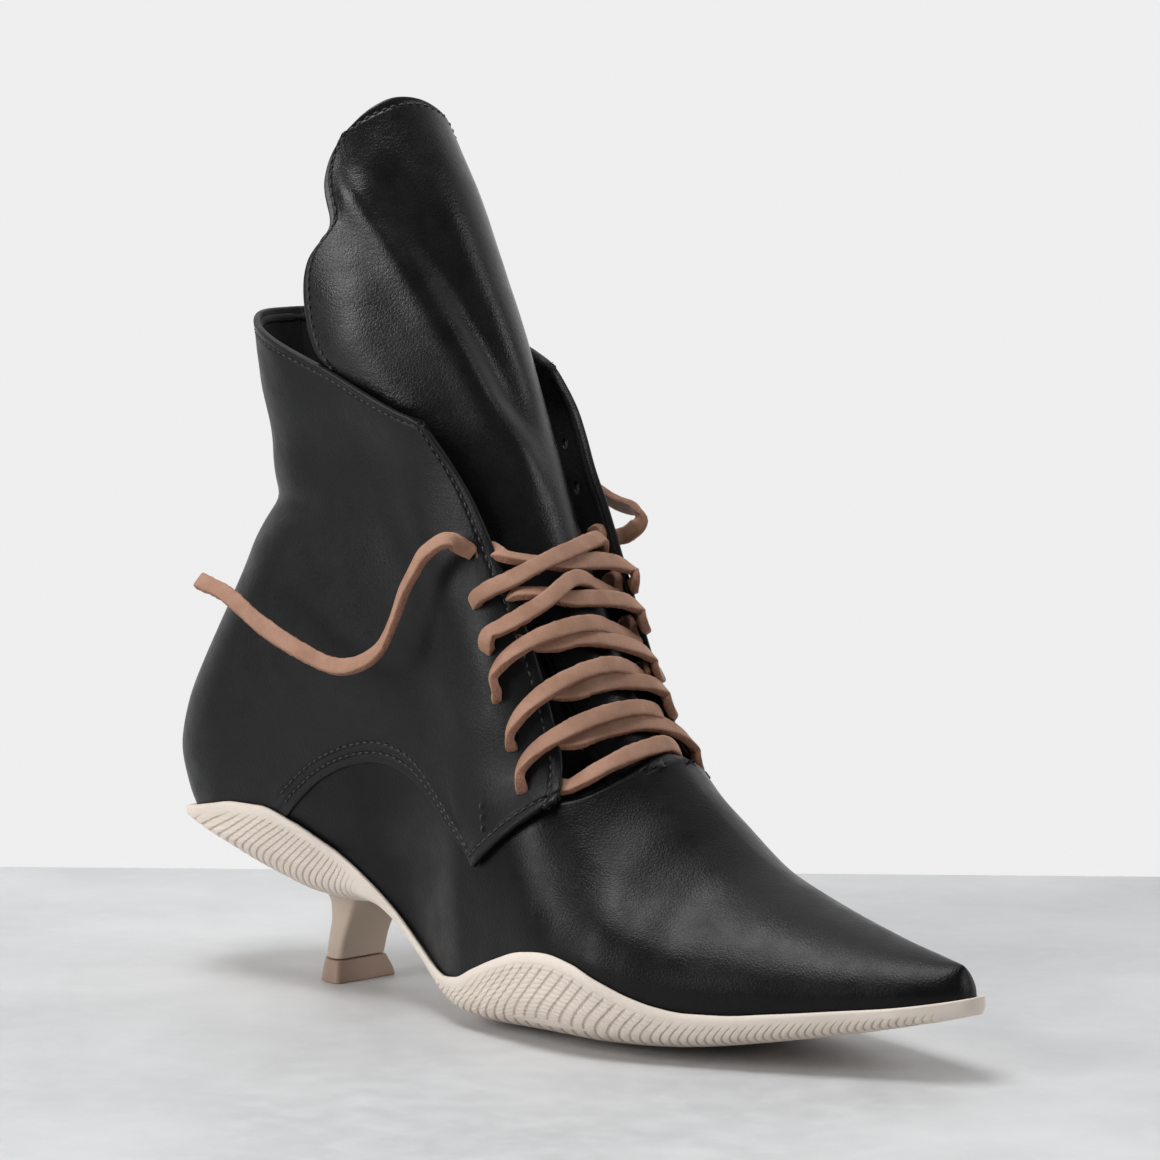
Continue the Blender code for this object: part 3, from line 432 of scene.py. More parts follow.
def bottom_bar(steps=14):
    """Under both flaps, from the first hole of one side to that of the other."""
    a, b = hole_turn(0, -1)[0], hole_turn(0, 1)[0]
    fa, fb = hole_frame(0, -1)[2], hole_frame(0, 1)[2]
    keys = [vec(a, fa, -5.0), a, off_wall(157.0, 68.5, -1, -3.0), (163.0, -14.0, 71.0), (167.8, -5.0, 74.6), (168.2, 10.5, 74.6),
            (163.0, 19.0, 71.0), off_wall(157.0, 68.5, 1, -3.0), b, vec(b, fb, -5.0)]
    return smooth_path(keys, steps)


# free ends of the thong: where they run, in millimetres from the back of the heel
END_LATERAL = dict(
 x = [129.0, 127.7, 122.5, 116.2, 112.3, 108.9, 103.0,  95.6,  83.8,  70.8,  58.2,  47.9],
 y = [-31.5, -34.0, -37.0, -39.0, -40.0, -41.0, -42.0, -43.0, -45.0, -47.0, -48.0, -48.0],
 z = [127.4, 128.6, 124.7, 115.9, 106.1,  98.7,  94.8,  93.6,  97.1, 103.2, 110.5, 113.3],
)
END_MEDIAL = dict(
 x = [134.0, 138.5, 140.0, 136.0, 128.0, 118.0, 107.0,  97.0],
 y = [ 29.6,  31.0,  34.5,  37.0,  37.5,  38.0,  38.5,  39.0],
 z = [126.6, 128.5, 132.0, 135.5, 137.5, 139.0, 142.0, 146.0],
)


def smooth_path(keys, steps):
    """Even points on a smooth curve from the second key to the last but one."""
    dense = []
    for i in range(1, len(keys) - 2):
        p0, p1, p2, p3 = keys[i - 1:i + 3]
        for j in range(12):
            t = j / 12
            dense.append(tuple(0.5 * (2 * b + (c - a) * t + (2 * a - 5 * b + 4 * c - d) * t * t
                                      + (3 * b - a - 3 * c + d) * t ** 3)
                               for a, b, c, d in zip(p0, p1, p2, p3)))
    dense.append(keys[-2])
    run = [0.0]
    for a, b in zip(dense, dense[1:]):
        run.append(run[-1] + math.dist(a, b))
    out, i = [], 0
    for k in range(steps + 1):
        goal = run[-1] * k / steps
        while i < len(run) - 2 and run[i + 1] < goal:
            i += 1
        t = (goal - run[i]) / max(1e-9, run[i + 1] - run[i])
        out.append(vec(dense[i], vec(dense[i + 1], dense[i], -1), min(1.0, t)))
    return out


def lace_route():
    """The whole thong, top hole to top hole, as (point, way up) pairs."""
    last = len(LACE_HOLE_Z) - 1

    def between(points, up0, up1):
        n = len(points) - 1
        return [(p, tuple(lerp(a, b, i / n) for a, b in zip(up0, up1))) for i, p in enumerate(points)]

    def climb(side):
        pts = []
        for k in range(last):
            up0, up1 = hole_frame(k, side)[3], hole_frame(k + 1, -side)[3]
            pts += between(hole_turn(k, side), up0, up0) + between(crossing(k, side), up0, up1)[1:-1]
            side = -side
        up = hole_frame(last, side)[3]
        return pts + between(hole_turn(last, side), up, up)

    bar = between(bottom_bar(), hole_frame(0, -1)[3], hole_frame(0, 1)[3])
    return climb(-1)[::-1] + bar[1:-1] + climb(1)


def ribbon(route, width, thick):
    """Rectangular sections along a route of (point, way up) pairs."""
    secs = []
    for i, (p, up) in enumerate(route):
        a, b = route[max(0, i - 1)][0], route[min(len(route) - 1, i + 1)][0]
        t = unit(vec(b, a, -1))
        w = unit(vec(up, t, -sum(c * d for c, d in zip(up, t))))
        n = cross(t, w)
        secs.append([vec(vec(p, w, i1 * width / 2), n, i2 * thick / 2)
                     for i1, i2 in ((-1, -1), (1, -1), (1, 1), (-1, 1))])
    return secs




# ------------------------------------------------------------------ helpers
def mm(p):
    return Vector(((p[0] - ORIGIN_X) / 1000.0, p[1] / 1000.0, p[2] / 1000.0))


def metres(points):
    q = np.array(points, float) / 1000.0
    q[..., 0] -= ORIGIN_X / 1000.0
    return q


def make(name, points, faces, mats, face_mats=None, floats=None, flat=False):
    """A mesh piece from points in mm; floats are named values for each point."""
    mesh = bpy.data.meshes.new(name)
    mesh.from_pydata([tuple(p) for p in metres(points)], [], [tuple(int(i) for i in f) for f in faces])
    mats = mats if isinstance(mats, (list, tuple)) else [mats]
    for mat in mats:
        mesh.materials.append(mat)
    if face_mats is not None:
        mesh.polygons.foreach_set("material_index", np.array(face_mats, np.int32))
    mesh.polygons.foreach_set("use_smooth", np.full(len(mesh.polygons), not flat))
    for key, values in (floats or {}).items():
        layer = mesh.attributes.new(key, "FLOAT", "POINT")
        layer.data.foreach_set("value", np.array(values, np.float32))
    mesh.update()
    obj = bpy.data.objects.new(name, mesh)
    bpy.context.scene.collection.objects.link(obj)
    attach(obj, "root")
    return obj


def outward_faces(obj):
    """Turns every face of a closed mesh outward."""
    bm = bmesh.new()
    bm.from_mesh(obj.data)
    bmesh.ops.recalc_face_normals(bm, faces=bm.faces)
    if bm.calc_volume(signed=True) < 0:
        bmesh.ops.reverse_faces(bm, faces=bm.faces)
    bm.to_mesh(obj.data)
    bm.free()
    return obj


def volume(mesh):
    bm = bmesh.new()
    bm.from_mesh(mesh)
    found = bm.calc_volume()
    bm.free()
    return found


def cut(obj, tool, operation="DIFFERENCE"):
    """Applies a Boolean and removes the tool."""
    mod = obj.modifiers.new("cut", "BOOLEAN")
    mod.operation, mod.solver, mod.object = operation, "EXACT", tool
    bpy.context.view_layer.update()
    dg = bpy.context.evaluated_depsgraph_get()
    mesh = bpy.data.meshes.new_from_object(obj.evaluated_get(dg))
    mesh.polygons.foreach_set("use_smooth", np.full(len(mesh.polygons), True))
    obj.modifiers.clear()
    if 0.9 < volume(mesh) / volume(obj.data) <= 1.0:
        obj.data = mesh
    bpy.data.objects.remove(tool, do_unlink=True)


def bump_at(d, centre, width):
    return np.exp(-((d - centre) / width) ** 2)


def np_smooth(a, b, x):
    t = np.clip((x - a) / (b - a), 0, 1)
    return t * t * (3 - 2 * t)


def wave(points, size, seed=0.0):
    """Soft irregularity, about -1 to 1, with features of this size in mm."""
    flat = np.asarray(points, float).reshape(-1, 3)
    out = np.zeros(len(flat))
    for k, (ax, ay, az, turn) in enumerate(((1.0, 0.35, 0.6, 0.3), (-0.5, 0.8, 0.9, 1.9), (0.7, -0.9, 0.4, 4.1), (0.2, 0.5, -1.2, 2.7))):
        v = flat @ np.array([ax, ay, az]) / size * (1 + 0.37 * k) + turn + seed * (k + 1)
        out += np.sin(v + 0.8 * np.sin(v * 0.53 + seed))
    return (out / 4).reshape(np.shape(points)[:-1])


def near_line(points, line):
    """Distance of each point to a polyline, and how far along it, 0 to 1."""
    flat = np.asarray(points, float).reshape(-1, 3)
    line = np.asarray(line, float)
    seg = np.linalg.norm(np.diff(line, axis=0), axis=1)
    run = np.concatenate([[0], np.cumsum(seg)])
    best = np.full(len(flat), 1e9)
    along = np.zeros(len(flat))
    for k in range(len(line) - 1):
        a, b = line[k], line[k + 1]
        d = b - a
        t = np.clip(((flat - a) @ d) / max(1e-9, d @ d), 0, 1)
        r = np.linalg.norm(flat - (a + t[:, None] * d), axis=1)
        nearer = r < best
        best[nearer] = r[nearer]
        along[nearer] = (run[k] + t[nearer] * seg[k]) / run[-1]
    shape = np.shape(points)[:-1]
    return best.reshape(shape), along.reshape(shape)


def fold_field(points, folds):
    """Sum of soft ridges (height > 0) and troughs (height < 0) along lines."""
    total = np.zeros(np.shape(points)[:-1])
    for line, width, height, fade in folds:
        d, t = near_line(points, line)
        ends = np_smooth(0, fade, t) * np_smooth(0, fade, 1 - t) if fade > 0 else 1.0
        total += height * np.exp(-(d / width) ** 2) * ends
    return total


def spline(keys, count):
    """Even points on a smooth curve through all keys."""
    keys = [tuple(k) for k in keys]
    first = tuple(2 * a - b for a, b in zip(keys[0], keys[1]))
    last = tuple(2 * a - b for a, b in zip(keys[-1], keys[-2]))
    return smooth_path([first] + keys + [last], count)


def face_y(x, z, side):
    return upper_y(x, z, side)


def on_face(x, z, side):
    return (x, upper_y(x, z, side), z)


# ------------------------------------------------------------------- camera
EYE = (1093.85, -995.39, 261.04)
LOOK_AT = (143.7, 0.0, 116.8)
camera = bpy.data.objects.new("camera", bpy.data.cameras.new("camera"))
bpy.context.scene.collection.objects.link(camera)
camera.location = mm(EYE)
camera.rotation_mode = "QUATERNION"
camera.rotation_quaternion = (mm(LOOK_AT) - mm(EYE)).to_track_quat("-Z", "Y")
camera.data.lens = 163.0
camera.data.sensor_width = 36.0
camera.data.clip_start, camera.data.clip_end = 0.05, 40.0
camera.data.dof.use_dof = False
bpy.context.scene.camera = camera


# ---------------------------------------------------------------- materials
def shader(name, colour=(0.5, 0.5, 0.5), rough=0.5, **sockets):
    mat = bpy.data.materials.new(name)
    mat.use_nodes = True
    nt = mat.node_tree
    bsdf = nt.nodes["Principled BSDF"]
    bsdf.inputs["Base Color"].default_value = (*colour, 1)
    bsdf.inputs["Roughness"].default_value = rough
    for key, value in sockets.items():
        bsdf.inputs[key.replace("_", " ")].default_value = value
    return mat, nt, bsdf


def node(nt, kind, **values):
    made = nt.nodes.new(kind)
    for key, value in values.items():
        if key in made.inputs:
            made.inputs[key].default_value = value
        elif key.replace("_", " ") in made.inputs:
            made.inputs[key.replace("_", " ")].default_value = value
        else:
            setattr(made, key, value)
    return made


def place(nt, scale=(1, 1, 1)):
    """Object coordinates in millimetres, scaled."""
    coord = node(nt, "ShaderNodeTexCoord")
    mapping = node(nt, "ShaderNodeMapping")
    mapping.inputs["Scale"].default_value = [1000.0 * s for s in scale]
    nt.links.new(coord.outputs["Object"], mapping.inputs["Vector"])
    return mapping.outputs["Vector"]


def noise(nt, vector, scale, detail=3.0, rough=0.55):
    n = node(nt, "ShaderNodeTexNoise", Scale=scale, Detail=detail, Roughness=rough)
    nt.links.new(vector, n.inputs["Vector"])
    return n.outputs["Fac"]


def remap(nt, value, low, high, to_low, to_high):
    n = node(nt, "ShaderNodeMapRange")
    n.inputs["From Min"].default_value, n.inputs["From Max"].default_value = low, high
    n.inputs["To Min"].default_value, n.inputs["To Max"].default_value = to_low, to_high
    nt.links.new(value, n.inputs["Value"])
    return n.outputs["Result"]


def mix_colour(nt, factor, a, b):
    n = node(nt, "ShaderNodeMix", data_type="RGBA")
    nt.links.new(factor, n.inputs[0])
    for socket, value in ((n.inputs[6], a), (n.inputs[7], b)):
        if isinstance(value, tuple):
            socket.default_value = (*value, 1)
        else:
            nt.links.new(value, socket)
    return n.outputs[2]


def maths(nt, operation, a, b=None):
    n = node(nt, "ShaderNodeMath", operation=operation)
    for k, value in enumerate((a, b)):
        if value is None:
            continue
        if isinstance(value, (int, float)):
            n.inputs[k].default_value = value
        else:
            nt.links.new(value, n.inputs[k])
    return n.outputs[0]


def add_bump(nt, bsdf, heights):
    """Chains bumps: (height, distance in m, strength)."""
    last = None
    for height, distance, strength in heights:
        b = node(nt, "ShaderNodeBump", Strength=strength, Distance=distance)
        nt.links.new(height, b.inputs["Height"])
        if last is not None:
            nt.links.new(last, b.inputs["Normal"])
        last = b.outputs["Normal"]
    nt.links.new(last, bsdf.inputs["Normal"])


def leather(name, dark, light, rough, grain, crinkle, fine=1.0, **sockets):
    """Full-grain leather: pores, fine creases, cloudy gloss."""
    mat, nt, bsdf = shader(name, light, rough, **sockets)
    v = place(nt)
    cloud = noise(nt, v, 0.045, 4.0, 0.6)
    nt.links.new(mix_colour(nt, remap(nt, cloud, 0.35, 0.65, 0, 1), dark, light), bsdf.inputs["Base Color"])
    smear = noise(nt, v, 0.12, 5.0, 0.65)
    nt.links.new(remap(nt, smear, 0.3, 0.7, rough - 0.07, rough + 0.09), bsdf.inputs["Roughness"])
    cells = node(nt, "ShaderNodeTexVoronoi", feature="DISTANCE_TO_EDGE", Scale=0.95 * fine)
    warp = node(nt, "ShaderNodeMix", data_type="VECTOR")
    warp.inputs[0].default_value = 0.5
    wobble = node(nt, "ShaderNodeTexNoise", Scale=0.6, Detail=2.0)
    nt.links.new(v, wobble.inputs["Vector"])
    nt.links.new(v, warp.inputs[4])
    nt.links.new(wobble.outputs["Color"], warp.inputs[5])
    nt.links.new(v, cells.inputs["Vector"])
    pores = remap(nt, cells.outputs["Distance"], 0.0, 0.22, 0, 1)
    lines = noise(nt, place(nt, (0.5, 0.5, 1.4)), 0.55, 6.0, 0.62)
    add_bump(nt, bsdf, [(pores, 0.00010, grain), (lines, 0.00045, crinkle), (noise(nt, v, 2.6, 2.0), 0.00008, grain)])
    return mat


VAMP_LEATHER = leather("vamp_leather", (0.0042, 0.0042, 0.0050), (0.0068, 0.0068, 0.0078), 0.35, 0.24, 0.11, Specular_IOR_Level=0.19)
QUARTER_LEATHER = leather("quarter_leather", (0.0040, 0.0040, 0.0047), (0.0066, 0.0066, 0.0074), 0.42, 0.30, 0.16, Specular_IOR_Level=0.27)
TONGUE_LEATHER = leather("tongue_leather", (0.0050, 0.0050, 0.0058), (0.0080, 0.0080, 0.0088), 0.30, 0.24, 0.20, Specular_IOR_Level=0.40)
LINING = leather("lining_leather", (0.010, 0.010, 0.011), (0.016, 0.016, 0.017), 0.66, 0.3, 0.2)
THREAD, _nt, _bsdf = shader("black_thread", (0.012, 0.012, 0.013), 0.5)
_v = place(_nt)
add_bump(_nt, _bsdf, [(noise(_nt, _v, 5.0, 2.0), 0.0001, 0.5)])
_nt.links.new(mix_colour(_nt, noise(_nt, _v, 1.5, 2.0), (0.018, 0.018, 0.019), (0.045, 0.045, 0.048)), _bsdf.inputs["Base Color"])


def thong_material():
    """Vegetable-tanned thong: smooth face, fibrous redder cut sides, darkened further as painted shade."""
    mat, nt, bsdf = shader("natural_leather_thong", (0.6, 0.34, 0.23), 0.62)
    v = place(nt)
    side = node(nt, "ShaderNodeAttribute", attribute_name="cut_side")
    cloud = noise(nt, v, 0.16, 4.0, 0.6)
    speck = noise(nt, v, 1.9, 4.0, 0.7)
    face = mix_colour(nt, remap(nt, cloud, 0.35, 0.65, 0, 1), (0.455, 0.255, 0.172), (0.36, 0.188, 0.118))
    face = mix_colour(nt, remap(nt, speck, 0.52, 0.72, 0, 0.55), face, (0.36, 0.16, 0.09))
    # cut sides: the fibre's own redder colour, partly painted shade in how much darker it is than the face
    fibre_and_shade = mix_colour(nt, remap(nt, speck, 0.35, 0.65, 0, 1), (0.36, 0.175, 0.105), (0.20, 0.085, 0.05))
    nt.links.new(mix_colour(nt, side.outputs["Fac"], face, fibre_and_shade), bsdf.inputs["Base Color"])
    nt.links.new(remap(nt, speck, 0.3, 0.7, 0.5, 0.75), bsdf.inputs["Roughness"])
    hair = noise(nt, v, 3.2, 5.0, 0.75)
    add_bump(nt, bsdf, [(noise(nt, v, 0.8, 4.0), 0.0003, 0.25), (hair, 0.00035, 0.55)])
    return mat


THONG = thong_material()


def rubber(name, pale, groove_shade, ribbed):
    mat, nt, bsdf = shader(name, pale, 0.52)
    v = place(nt)
    cloud = noise(nt, v, 0.05, 4.0, 0.6)
    colour = mix_colour(nt, remap(nt, cloud, 0.35, 0.65, 0, 1), pale, tuple(c * 0.93 for c in pale))
    bumps = [(noise(nt, v, 1.8, 3.0), 0.0001, 0.25)]
    if ribbed:
        rib = node(nt, "ShaderNodeAttribute", attribute_name="rib").outputs["Fac"]
        arc = node(nt, "ShaderNodeAttribute", attribute_name="arc").outputs["Fac"]
        mask = node(nt, "ShaderNodeAttribute", attribute_name="ribbed").outputs["Fac"]
        net = node(nt, "ShaderNodeAttribute", attribute_name="netted").outputs["Fac"]
        phase = maths(nt, "MULTIPLY", rib, math.tau)
        hill = remap(nt, maths(nt, "COSINE", phase), -1.0, -0.55, 0, 1)
        wobble = maths(nt, "MULTIPLY", noise(nt, v, 0.5, 2.0), 4.5)
        across = maths(nt, "SINE", maths(nt, "ADD", maths(nt, "MULTIPLY", arc, math.tau / 1.3), wobble))
        cross_hill = remap(nt, across, -1.0, 0.2, 0, 1)
        groove = maths(nt, "MULTIPLY", maths(nt, "SUBTRACT", 1.0, hill), mask)
        weave = maths(nt, "MULTIPLY", maths(nt, "SUBTRACT", 1.0, cross_hill), net)
        # painted shade: the rib grooves and the net's hollows are darkened toward groove_shade; the same masks also
        # drive the bumps
        colour = mix_colour(nt, maths(nt, "MULTIPLY", groove, 0.80), colour, groove_shade)
        colour = mix_colour(nt, maths(nt, "MULTIPLY", weave, 0.13), colour, groove_shade)
        bumps = [(maths(nt, "SUBTRACT", 1.0, groove), 0.0005, 0.55), (maths(nt, "SUBTRACT", 1.0, weave), 0.00022, 0.45)] + bumps
    nt.links.new(colour, bsdf.inputs["Base Color"])
    add_bump(nt, bsdf, bumps)
    return mat


SOLE_RUBBER = rubber("cream_rubber_ribbed", (0.87, 0.765, 0.67), (0.50, 0.385, 0.295), True)
# painted shade: the stem is the sole's cream rubber, coloured darker for the shade it stands in under the waist
SHADED_STEM_RUBBER = rubber("cream_rubber_plain_painted_shade", (0.55, 0.44, 0.35), (0.34, 0.26, 0.19), False)
TREAD_RUBBER = rubber("pink_beige_rubber", (0.39, 0.265, 0.20), (0.24, 0.16, 0.11), False)


# --------------------------------------------------------------- the thong
THONG_W, THONG_T = 4.6, 2.3


def thong(name, path, ups, squeeze=(), seed=1):
    """Flat leather strip along a dense path; squeeze: (point, how narrow) at holes."""
    pts = np.array(path, float)
    n = len(pts)
    tangent = np.gradient(pts, axis=0)
    tangent /= np.linalg.norm(tangent, axis=1)[:, None]
    up = np.array(ups, float)
    up -= (up * tangent).sum(1)[:, None] * tangent
    up /= np.linalg.norm(up, axis=1)[:, None]
    flat = np.cross(tangent, up)
    width, thick = np.full(n, THONG_W), np.full(n, THONG_T)
    for centre, narrow in squeeze:
        near = np.exp(-(np.linalg.norm(pts - np.array(centre), axis=1) / 2.6) ** 2)
        width *= 1 - narrow * near
        thick *= 1 + 0.25 * near
    rng = np.random.default_rng(seed)

    def soft(size, count):
        raw = rng.normal(size=(n + 2 * size, count))
        kernel = np.ones(size) / size
        return np.stack([np.convolve(raw[:, k], kernel, "same")[size:size + n] for k in range(count)], 1) * math.sqrt(size)

    around = 20
    rows, side_value = [], []
    shape = []
    for k in range(around):
        a = k / around * math.tau
        c, s = math.cos(a), math.sin(a)
        shape.append((math.copysign(abs(c) ** 0.42, c), math.copysign(abs(s) ** 0.42, s)))
    fray, swell = soft(2, around) * 0.055, soft(14, 2)
    width = width * (1 + 0.03 * swell[:, 0])
    thick = thick * (1 + 0.05 * swell[:, 1])
    verts = np.zeros((n, around, 3))
    cut_side = np.zeros((n, around))
    for k, (cw, cn) in enumerate(shape):
        side_amount = max(0.0, (abs(cw) - 0.9) / 0.1)
        verts[:, k] = pts + up * (cw * width / 2)[:, None] + flat * (cn * thick / 2)[:, None]
        verts[:, k] += up * (np.sign(cw) * fray[:, k] * (0.3 + side_amount))[:, None]
        cut_side[:, k] = min(1.0, side_amount * 1.4)
    faces = []
    for i in range(n - 1):
        for k in range(around):
            j = (k + 1) % around
            faces.append((i * around + k, i * around + j, (i + 1) * around + j, (i + 1) * around + k))
    points = verts.reshape(-1, 3).tolist()
    points += [pts[0].tolist(), pts[-1].tolist()]
    for k in range(around):
        j = (k + 1) % around
        faces.append((n * around, j, k))
        faces.append((n * around + 1, (n - 1) * around + k, (n - 1) * around + j))
    values = cut_side.ravel().tolist() + [1.0, 1.0]
    obj = make(name, points, faces, THONG, floats={"cut_side": values})
    return outward_faces(obj)


def even(points, step):
    """A polyline resampled at even steps."""
    pts = np.array(points, float)
    run = np.concatenate([[0], np.cumsum(np.linalg.norm(np.diff(pts, axis=0), axis=1))])
    count = max(2, int(round(run[-1] / step)))
    goal = np.linspace(0, run[-1], count + 1)
    return np.stack([np.interp(goal, run, pts[:, k]) for k in range(pts.shape[1])], 1)


# where each strand of the thong runs: over the throat from the outer
# side's holes, back from the inner side's holes, and the bar under both flaps
NEAR_STRANDS = [
    [(152.9, -31.8, 66.8), (152.0, -31.2, 69.6), (153.0, -29.8, 72.8), (155.4, -27.0, 76.4), (158.3, -23.3, 79.3), (160.1, -17.4, 81.8), (161.9, -10.3, 83.7), (162.9, -2.3, 84.5), (163.3, 4.1, 83.9), (163.4, 8.6, 82.2)],
    [(148.7, -31.4, 76.7), (148.5, -31.3, 79.5), (149.7, -29.8, 83.2), (151.5, -26.7, 87.1), (154.0, -22.7, 90.6), (155.6, -17.0, 93.3), (157.0, -10.7, 95.2), (158.0, -3.9, 95.8), (158.8, 1.0, 94.7), (159.3, 3.9, 93.2)],
    [(144.0, -31.6, 90.0), (142.7, -31.6, 93.6), (144.2, -29.6, 97.6), (146.3, -25.8, 101.0), (149.2, -21.0, 103.9), (151.0, -15.1, 105.6), (152.4, -9.1, 106.5), (153.5, -3.6, 106.1), (154.5, -0.1, 104.6)],
    [(140.1, -31.0, 101.8), (139.7, -30.2, 104.6), (142.2, -27.5, 106.6), (144.2, -23.5, 108.8), (146.4, -18.6, 111.7), (147.0, -14.1, 114.0), (147.0, -9.1, 116.8), (147.0, -5.7, 118.0), (147.8, -2.6, 117.4), (148.7, -0.2, 115.7)],
    [(134.1, -29.4, 113.6), (136.6, -27.3, 115.7), (140.1, -23.1, 118.2), (142.1, -17.4, 120.8), (143.1, -10.6, 123.2), (143.4, -3.1, 125.1), (142.8, 4.4, 126.6), (142.0, 9.3, 127.0)],
]
FAR_STRANDS = [
    [(161.0, 26.5, 67.4), (160.1, 27.0, 70.3), (160.0, 22.7, 74.7), (160.5, 14.5, 78.4), (161.0, 5.4, 80.0), (161.0, -3.8, 79.8), (160.5, -12.2, 78.8), (159.6, -19.1, 77.2)],
    [(158.0, 19.2, 82.6), (156.6, 19.1, 86.0), (156.2, 15.2, 88.7), (156.6, 6.8, 90.5), (156.5, -1.1, 91.1), (156.1, -8.6, 90.6), (155.7, -14.9, 89.4)],
    [(154.3, 18.1, 91.9), (153.2, 18.5, 94.5), (152.6, 15.0, 97.3), (152.4, 7.8, 99.9), (151.9, -0.7, 101.8), (151.0, -8.9, 102.5), (150.0, -16.8, 101.8)],
    [(148.6, 19.0, 104.5), (147.2, 19.8, 107.3), (146.8, 15.6, 109.8), (147.1, 7.8, 111.5), (146.8, 0.1, 112.2), (146.2, -7.2, 112.6), (144.6, -13.3, 114.0), (142.4, -21.1, 114.8)],
    [(142.7, 21.9, 114.8), (141.0, 24.1, 116.9), (140.9, 19.0, 119.3), (141.5, 11.5, 120.9), (141.8, 3.1, 121.3), (141.8, -4.8, 121.1), (140.3, -12.2, 122.3), (137.3, -21.4, 124.1)],
]
BAR = [(161.8, -23.1, 66.1), (162.5, -18.9, 67.5), (163.2, -11.8, 70.1), (163.6, -3.1, 72.5), (163.0, 6.6, 73.8), (162.1, 14.5, 73.7), (162.2, 17.9, 71.4), (163.0, 17.3, 68.9)]
NEAR_TILT = [[72, 60, 46, 36, 30, 28, 28, 28, 28, 28], [72, 60, 46, 36, 30, 28, 28, 28, 28, 28], [72, 60, 46, 36, 30, 28, 28, 28, 28],
             [30, 28, 26, 26, 26, 26, 26, 28, 30, 34], [24, 24, 26, 28, 30, 34, 42, 50]]
FAR_TILT = [[26, 26, 26, 28, 34, 40, 44, 48], [26, 26, 26, 26, 28, 32, 36], [26, 26, 28, 32, 38, 40, 40],
            [26, 26, 26, 26, 28, 36, 56, 66], [24, 24, 26, 28, 34, 52, 66, 70]]
BAR_TILT = [58, 54, 46, 38, 32, 28, 28, 28]
TO_EYE = (0.65, -0.76, 0.09)
BAR_OUT = [0.0, 2.5, 5.0, 6.5, 7.0, 7.0, 6.5, 4.5]
TOP_HOLE_BACK = {-1: 5.2, 1: 10.0}


# where the outer side's punched holes sit off the even row, forward and up
HOLE_OFF = [(2.5, -1.3), (1.1, -1.7), (0.8, -1.4), (2.0, -0.7), (1.7, -0.7), (0.0, 0.0)]


def lace_hole(k, side):
    """Lace hole k: point on the outer face, outward, forward, up."""
    here, out, forward, up = hole_frame(k, side)
    if k == len(LACE_HOLE_Z) - 1:
        x = tab(FLAP, "x_" + side_col(side), "z", here[2]) - TOP_HOLE_BACK[side]
        here = (x, upper_y(x, here[2], side), here[2])
    if side < 0:
        x, z = here[0] + HOLE_OFF[k][0], here[2] + HOLE_OFF[k][1]
        here = (x, upper_y(x, z, side), z)
    else:
        here = (here[0], here[1] - 1.3, here[2])
    return here, out, forward, up


def body_normal(p):
    """Away from the ankle, level."""
    x0 = tab(FLAP, "x_lat", "z", min(max(p[2], 62.5), 160.0)) - 18.0
    v = np.array([p[0] - x0, p[1], 0.0])
    return v / np.linalg.norm(v)


def strand_keys(points, tilts):
    """Adds the direction the strip's broad face looks to, from its tilt."""
    pts = np.array(points, float)
    run = np.gradient(pts, axis=0)
    rows = []
    for p, t, a in zip(pts, run, tilts):
        t = t / np.linalg.norm(t)
        n = body_normal(p)
        n = n - (n @ t) * t
        n /= np.linalg.norm(n)
        w = np.cross(n, t)
        if w @ np.array([-0.4, 0.0, 0.9]) < 0:
            w = -w
        a = math.radians(a)
        rows.append((*p, *(n * math.cos(a) + w * math.sin(a))))
    return rows


def arrive(k, side):
    """Along the inner face of the flap to the inside of hole k."""
    here, out, forward, _ = lace_hole(k, side)
    reach = 2.6 if (k, side) == (5, -1) else 6.0
    return [(*vec(vec(here, out, -3.5), forward, reach), *out), (*vec(vec(here, out, -3.3), forward, min(2.6, reach - 1.2)), *out),
            (*vec(here, out, -1.1), *forward)]


def leave(k, side, toward, twisted):
    """Out of hole k, then along the flap toward the next point."""
    here, out, forward, _ = lace_hole(k, side)
    d = np.array(toward) - np.array(here)
    d -= (d @ np.array(out)) * np.array(out)
    d /= np.linalg.norm(d)
    n = np.array(forward) if twisted else d
    return [(*vec(here, out, 0.35), *(-n))] + ([] if twisted else [(*(np.array(vec(here, out, 1.75)) + d * 1.5), *(np.array(out) - 0.35 * d))])


